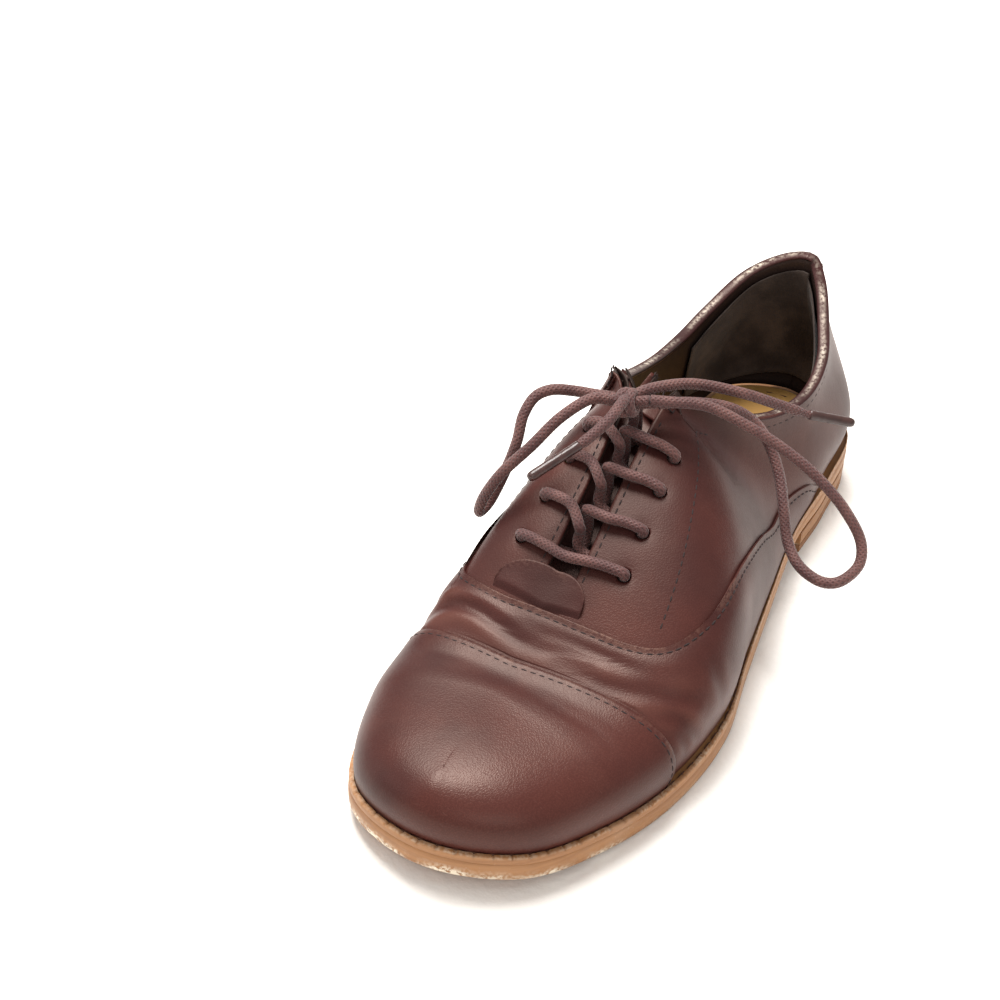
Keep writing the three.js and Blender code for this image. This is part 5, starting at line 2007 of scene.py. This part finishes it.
    def build_hidden(self) -> None:
        """Makes the insole board and filler, and dresses the stiffening parts."""
        inside = Smooth([-5, 60, 150, 180, 270], [6.6, 6.5, 6.4, 4.9, 4.8])
        board = np.array([
            self.loop(lambda d: LAST.edge_inset(d) + inside(d), self.above(rise)) for rise in (0.1, 1.9)
        ])
        mesh = self.plate("insole_board_sheet", board, False)
        self.put(mesh, self.fin.board, Body.FLEXING, "insole_board")
        q = np.r_[np.linspace(15, 20, 101)[:-1], np.linspace(0, 5, 101)]
        half = len(q) // 2 + 1
        steps = np.linspace(0, 1, 31)[None, :, None]
        grids = []
        for rise in (-1.7, -0.5):
            ring = self.loop(lambda d: LAST.edge_inset(d) + 6.5, self.above(rise), q)
            grids.append(ring[:half, None] * (1 - steps) + ring[::-1][:half, None] * steps)
        mesh = sheet_mesh("cork_layer", grids[1], grids[0])
        self.put(mesh, self.fin.cork, Body.FLEXING, "cork_filler")
        stiff = self.fin.stiffener
        for node, finish in (("shank", self.fin.steel), ("toe_puff", stiff), ("heel_counter", stiff)):
            piece = bpy.data.objects[node]
            for slot in piece.material_slots:
                slot.material = finish


@dataclass
class Footbed(Assembly):
    """The sock that covers the insole, with its pressed dashes."""

    bottom: Bottom
    dash_inset: float = 4.0

    def build(self) -> None:
        """Makes and dresses the sock and its dashes."""
        inside = Smooth([-5, 60, 150, 180, 270], [6.7, 6.6, 6.5, 5.0, 4.9])
        above = self.bottom.above
        steps = [(0.15, 2.2), (0.0, 2.5), (0.0, 3.2), (0.15, 3.5), (0.5, 3.6)]
        levels = np.array([
            self.bottom.loop(lambda d, e=more: LAST.edge_inset(d) + inside(d) + e, above(z))
            for more, z in steps
        ])
        wear = np.zeros(levels.shape[:2])
        wear[2:] = 0.7
        mesh = self.bottom.plate("sock_leather", levels, False, wear)
        self.put(mesh, self.fin.sock, Body.FLEXING, "sock_liner")
        path = self.bottom.loop(lambda d: LAST.edge_inset(d) + inside(d) + self.dash_inset, above(3.66))
        dashes = self.stitcher.sew("sock_dashes", [path[120:361]], self.fin.sole_thread, 5.0, 2.6, 0.16)
        attach(dashes, Body.FLEXING)


@dataclass
class Laces(Assembly):
    """The laced run, the knot, the two loops and the two tails with their sleeves."""

    radius: float = 1.7
    bow_radius: float = 1.75
    over: float = 0.35
    knot: tuple = (-12.5, 122.0, 80.2)
    loop_lateral: tuple = (
        (-5.6, 120.6, 83), (-0.1, 118.2, 83), (9.7, 112.8, 82), (20.9, 109.7, 78), (32.8, 106.6, 72),
        (45.3, 105.4, 65), (56.3, 105.1, 56), (64.1, 106.9, 47), (65.9, 111.2, 42), (62.7, 118.6, 39),
        (57.8, 120.3, 38), (49.8, 119.5, 40), (43.1, 114.2, 43), (38.1, 107.8, 49), (32.1, 99.9, 56),
        (25.8, 95.7, 63), (19.8, 95.4, 69), (13.1, 100.5, 75), (4.2, 109.3, 79), (-4.6, 116.2, 79.5),
    )
    tail_lateral: tuple = (
        (-12.0, 119.4, 81.4), (-9.9, 116.2, 82.2), (-6.5, 111, 82), (0.6, 101.5, 80), (13.5, 92.5, 76),
        (23.3, 84, 70), (31.2, 77.3, 65.2), (36.0, 73.1, 63.0), (42.4, 67.5, 60.35),
    )
    loop_medial: tuple = (
        (-17.2, 126.6, 82.6), (-21, 130, 83.4), (-26.6, 139.2, 80), (-32.1, 147.5, 72), (-39.1, 153.6, 62),
        (-43.5, 156, 52), (-44.6, 155.4, 46.5), (-43.8, 151.4, 47.5), (-41.2, 147, 57), (-39.8, 142, 67),
        (-40.6, 136.7, 74), (-39.5, 131.4, 78), (-36.4, 127, 79), (-31, 121.9, 77.6), (-25.4, 119.4, 77),
        (-19.4, 119.6, 78.4),
    )
    tail_medial: tuple = (
        (-12.3, 124.4, 83.0), (-12.1, 127.6, 83.6), (-12.4, 135.3, 82), (-16.3, 146.4, 78.1),
        (-19.0, 152.6, 76.7), (-23.4, 162.8, 74.3),
    )
    aglet_lateral: tuple = ((31.5, 77, 65.1), (43.2, 66.8, 60))
    aglet_medial: tuple = ((-16.5, 146.8, 78), (-24, 164.2, 74))

    def strand(self, path: Grid, radius: float, pinch: float = 0.0) -> Callable[[Grid, Grid], Grid]:
        """Radius of a braided cord.

        Args:
            path: Its points.
            radius: Its nominal radius.
            pinch: Length at its end that a sleeve squeezes.

        Returns:
            A function of length run and angle.
        """
        total = run_along(path)[-1]

        def size(run: Grid, angle: Grid) -> Grid:
            """Radius at a length run and an angle."""
            one = np.cos(6 * angle + run * math.pi) * np.cos(6 * angle - run * math.pi)
            squeeze = 1 - 0.27 * np.clip((run - (total - pinch)) / 2.0, 0, 1) * (pinch > 0)
            return radius * (1 + 0.035 * one) * squeeze

        return size

    def cord(self, name: str, points: tuple, length: float, end: str, node: str,
             with_pieces: Sequence[Object]) -> None:
        """Args:
            name: The piece's name.
            points: Its route.
            length: Its real length in metres; not used.
            end: What is on its far end; not used.
            node: The CAD node that it stands for.
            with_pieces: Pieces on it.
        """
        path = polyline(points, 0.55)
        pinch = 20.0 if with_pieces else 0.0
        mesh = tube_mesh(name, path, self.strand(path, self.bow_radius, pinch), 24)
        obj = attach(add_object(name, mesh, self.fin.lace), Body.ROOT, node)
        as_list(with_pieces)

    def sleeve(self, name: str, ends: tuple, node: str) -> Object:
        """Makes the clear sleeve on a lace's end.

        Args:
            name: The piece's name.
            ends: Where it starts and ends.
            node: The CAD node that it stands for.

        Returns:
            The sleeve.
        """
        low, high = np.array(ends[0], float), np.array(ends[1], float)
        path = np.linspace(low, high, 36)
        total = float(np.linalg.norm(high - low))

        def size(run: Grid, angle: Grid) -> Grid:
            """Radius with a rounded tip and a slight crimp."""
            tip = np.clip((total - run) / 1.4, 0, 1) ** 0.5
            crimp = 1 - 0.05 * np.exp(-((run - 3.0) / 0.8) ** 2) - 0.05 * np.exp(-((run - 6.0) / 0.8) ** 2)
            return 1.58 * crimp * (0.72 + 0.28 * tip) + 0 * angle

        obj = add_object(name, tube_mesh(name, path, size, 22), self.fin.clear)
        return attach(obj, Body.ROOT, node)

    def build_cords(self) -> None:
        """Makes the free lengths and their sleeves."""
        lateral = self.sleeve("lace_tip_lateral", self.aglet_lateral, "aglet_lateral")
        medial = self.sleeve("lace_tip_medial", self.aglet_medial, "aglet_medial")
        self.cord("bow_loop_lateral", self.loop_lateral, 0.199, "object", "lace_loop_lateral", [])
        self.cord("bow_loop_medial", self.loop_medial, 0.128, "object", "lace_loop_medial", [])
        self.cord("bow_tail_lateral", self.tail_lateral, 0.08, "fitting", "lace_tail_lateral", [lateral])
        self.cord("bow_tail_medial", self.tail_medial, 0.042, "fitting", "lace_tail_medial", [medial])

    def end(self, start: Side) -> list:
        """One end of the lace, from its lowest hole to just under the knot.

        Args:
            start: The side that it starts from.

        Returns:
            Points in order.
        """
        path = []
        side = start
        for row, k in enumerate(EYELETS):
            v = EYELET_HEIGHT[side]
            sign = side.value
            below = float(LINING_TOP(k + 0.2)) - LINING - self.radius - 0.45
            path += [*spots([(sign, k, v)], -0.5), *spots([(sign, k, v)], -3.0)]
            path += [*spots([(sign, k + 0.02, v + 0.01)], below + 0.7)]
            high = side is Side.LATERAL
            follow = EYELETS[row + 1] if row < 3 else k + 0.42
            turn = k + (follow - k) * 0.45
            path += [*spots([(sign, k + 0.07, 0.93)], below if high else below - 1.6)]
            if high:
                marks = ((turn, below + 0.1), (turn + 0.075, -2.6), (turn + 0.085, 0.6))
            else:
                marks = ((turn - 0.02, below - 3.9), (turn + 0.14, below - 2.7), (turn + 0.22, -2.4),
                         (turn + 0.225, 0.6))
            path += [LAST.middle(at, lift) for at, lift in marks]
            side = Side.MEDIAL if side is Side.LATERAL else Side.LATERAL
            if row < 3:
                path += [*spots([(side.value, follow - 0.01, 0.945)], self.over + 0.7)]
                path += [*spots([(side.value, follow, EYELET_HEIGHT[side] + 0.055)], self.over + 0.15)]
            else:
                path.append(LAST.middle(turn + (0.13 if high else 0.26), 3.6))
        return path

    def build(self) -> None:
        """Makes the laced run and the knot."""
        k = EYELETS[0]
        bar = [
            *spots([(-1, k, EYELET_HEIGHT[Side.MEDIAL] + 0.05)], self.over + 0.1),
            *spots([(-1, k, 0.93)], self.over + 0.2),
            LAST.middle(k, self.over + 0.6),
            *spots([(1, k, 0.93)], self.over + 0.2),
            *spots([(1, k, EYELET_HEIGHT[Side.LATERAL] + 0.05)], self.over + 0.1),
        ]
        points = [*self.end(Side.MEDIAL)[::-1], *bar, *self.end(Side.LATERAL)]
        path = polyline(points, 0.55)
        mesh = tube_mesh("laced_run", path, self.strand(path, self.radius), 24)
        self.put(mesh, self.fin.lace, Body.FLEXING, "lace")
        centre = np.array(self.knot)
        axis = np.array([math.cos(0.3), 0.0, math.sin(0.3)])
        parts = []
        for shift, tilt, size in ((-1.1, 0.16, 3.1), (1.5, -0.2, 2.9)):
            lean = unit(axis + np.array([0.0, tilt, 0.0]))
            first = unit(np.cross(lean, [0.0, 0.0, 1.0]))
            second = np.cross(lean, first)
            angle = np.linspace(0, 2.0 * math.pi, 48)[:, None]
            ring = centre + lean * shift + size * (first * np.cos(angle) + second * np.sin(angle))
            parts.append(tube_mesh("wrap", ring, self.strand(ring, 1.7), 24))
        for route in (
            [(-17.4, 126.8, 82.4), (-14.5, 124.0, 81.2), (-11, 121.6, 81.0), (-6.0, 120.5, 82.6)],
            [(-19.2, 119.7, 78.6), (-14.8, 120.6, 78.9), (-10.5, 119.2, 79.2), (-5.0, 116.6, 79.6)],
        ):
            line = polyline(route, 0.5)
            parts.append(tube_mesh("pass", line, self.strand(line, 1.7), 24))
        attach(add_object("bow_knot", join_meshes("bow_knot", parts), self.fin.lace), Body.ROOT, "lace_knot")


@dataclass
class Studio:
    """The pale floor, the soft lights and the camera."""

    target: tuple = (-0.02956, -0.02625, 0.02)
    azimuth: float = 25.83
    elevation: float = 40.47
    distance: float = 0.7323
    roll: float = 3.80
    lens: float = 83.1
    shift: tuple = (-0.0219, 0.0933)

    def add_camera(self) -> None:
        """Places the camera."""
        a, e, r = (math.radians(x) for x in (self.azimuth, self.elevation, self.roll))
        back = Vector((math.sin(a) * math.cos(e), -math.cos(a) * math.cos(e), math.sin(e)))
        right = Vector((math.cos(a), math.sin(a), 0.0))
        up = back.cross(right)
        x = right * math.cos(r) + up * math.sin(r)
        y = up * math.cos(r) - right * math.sin(r)
        data = bpy.data.cameras.new("camera")
        data.lens = self.lens
        data.sensor_width = 36.0
        data.shift_x, data.shift_y = self.shift
        data.clip_start = 0.01
        camera = bpy.data.objects.new("camera", data)
        turn = Matrix((x, y, back)).transposed().to_4x4()
        camera.matrix_world = Matrix.Translation(Vector(self.target) + back * self.distance) @ turn
        bpy.context.scene.collection.objects.link(camera)
        bpy.context.scene.camera = camera

    def add_light(self, name: str, place: Vector, size: float, power: float, colour: Colour) -> None:
        """Adds one square soft light aimed at the shoe.

        Args:
            name: Its name.
            place: Where it hangs, metres.
            size: Its side, metres.
            power: Its power in watts.
            colour: Its colour.
        """
        data = bpy.data.lights.new(name, "AREA")
        data.size = size
        data.energy = power
        data.color = colour
        light = bpy.data.objects.new(name, data)
        light.location = place
        light.rotation_euler = (Vector((0, 0, 0.03)) - place).to_track_quat("-Z", "Y").to_euler()
        bpy.context.scene.collection.objects.link(light)

    def build(self) -> None:
        """Makes the floor, the world and the lights."""
        self.add_light("overhead", Vector((-0.45, 0.35, 1.5)), 0.7, 44.0, (1.0, 0.98, 0.95))
        self.add_light("front_fill", Vector((1.1, -1.3, 1.2)), 1.2, 8.0, (1.0, 0.97, 0.94))
        self.add_light("left_fill", Vector((-1.5, -0.6, 0.8)), 1.0, 4.0, (0.98, 0.98, 1.0))
        world = bpy.data.worlds.new("studio")
        world.use_nodes = True
        world.node_tree.nodes["Background"].inputs[0].default_value = (1.0, 0.975, 0.945, 1.0)
        world.node_tree.nodes["Background"].inputs[1].default_value = 0.62
        bpy.context.scene.world = world
        material, made, shader, where = start_material("floor_paper", {"Specular IOR Level": 0.2})
        speckle = made.noise(where, 300.0, 3.0)
        colour = made.mix(made.times(speckle, 0.3), (0.93, 0.915, 0.89), (0.86, 0.84, 0.81))
        rough = made.math("MULTIPLY_ADD", speckle, 0.1, 0.85)
        dress(made, shader, colour, rough, speckle, 0.0004)
        mesh = bpy.data.meshes.new("floor")
        corners = [(x * 6.0, y * 6.0, -0.0002) for x, y in ((-1, -1), (1, -1), (1, 1), (-1, 1))]
        mesh.from_pydata(corners, [], [(0, 1, 2, 3)])
        add_object("floor", mesh, material)


def main() -> None:
    """Builds the sub-assemblies in order."""
    logging.basicConfig(level=logging.INFO, format="%(name)s %(message)s")
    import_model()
    bpy.context.scene.view_settings.view_transform = "Standard"
    studio = Studio()
    studio.add_camera()
    kit = (Finishes(), StitchTree())
    laces = Laces(*kit)
    laces.build_cords()
    bottom = Bottom(*kit)
    parts = (
        Forepart(*kit), Quarter(*kit, Side.LATERAL), Quarter(*kit, Side.MEDIAL), Collar(*kit),
        Tongue(*kit), bottom, Footbed(*kit, bottom), laces,
    )
    for part in parts:
        part.build()
    studio.build()


if __name__ == "__main__":
    main()
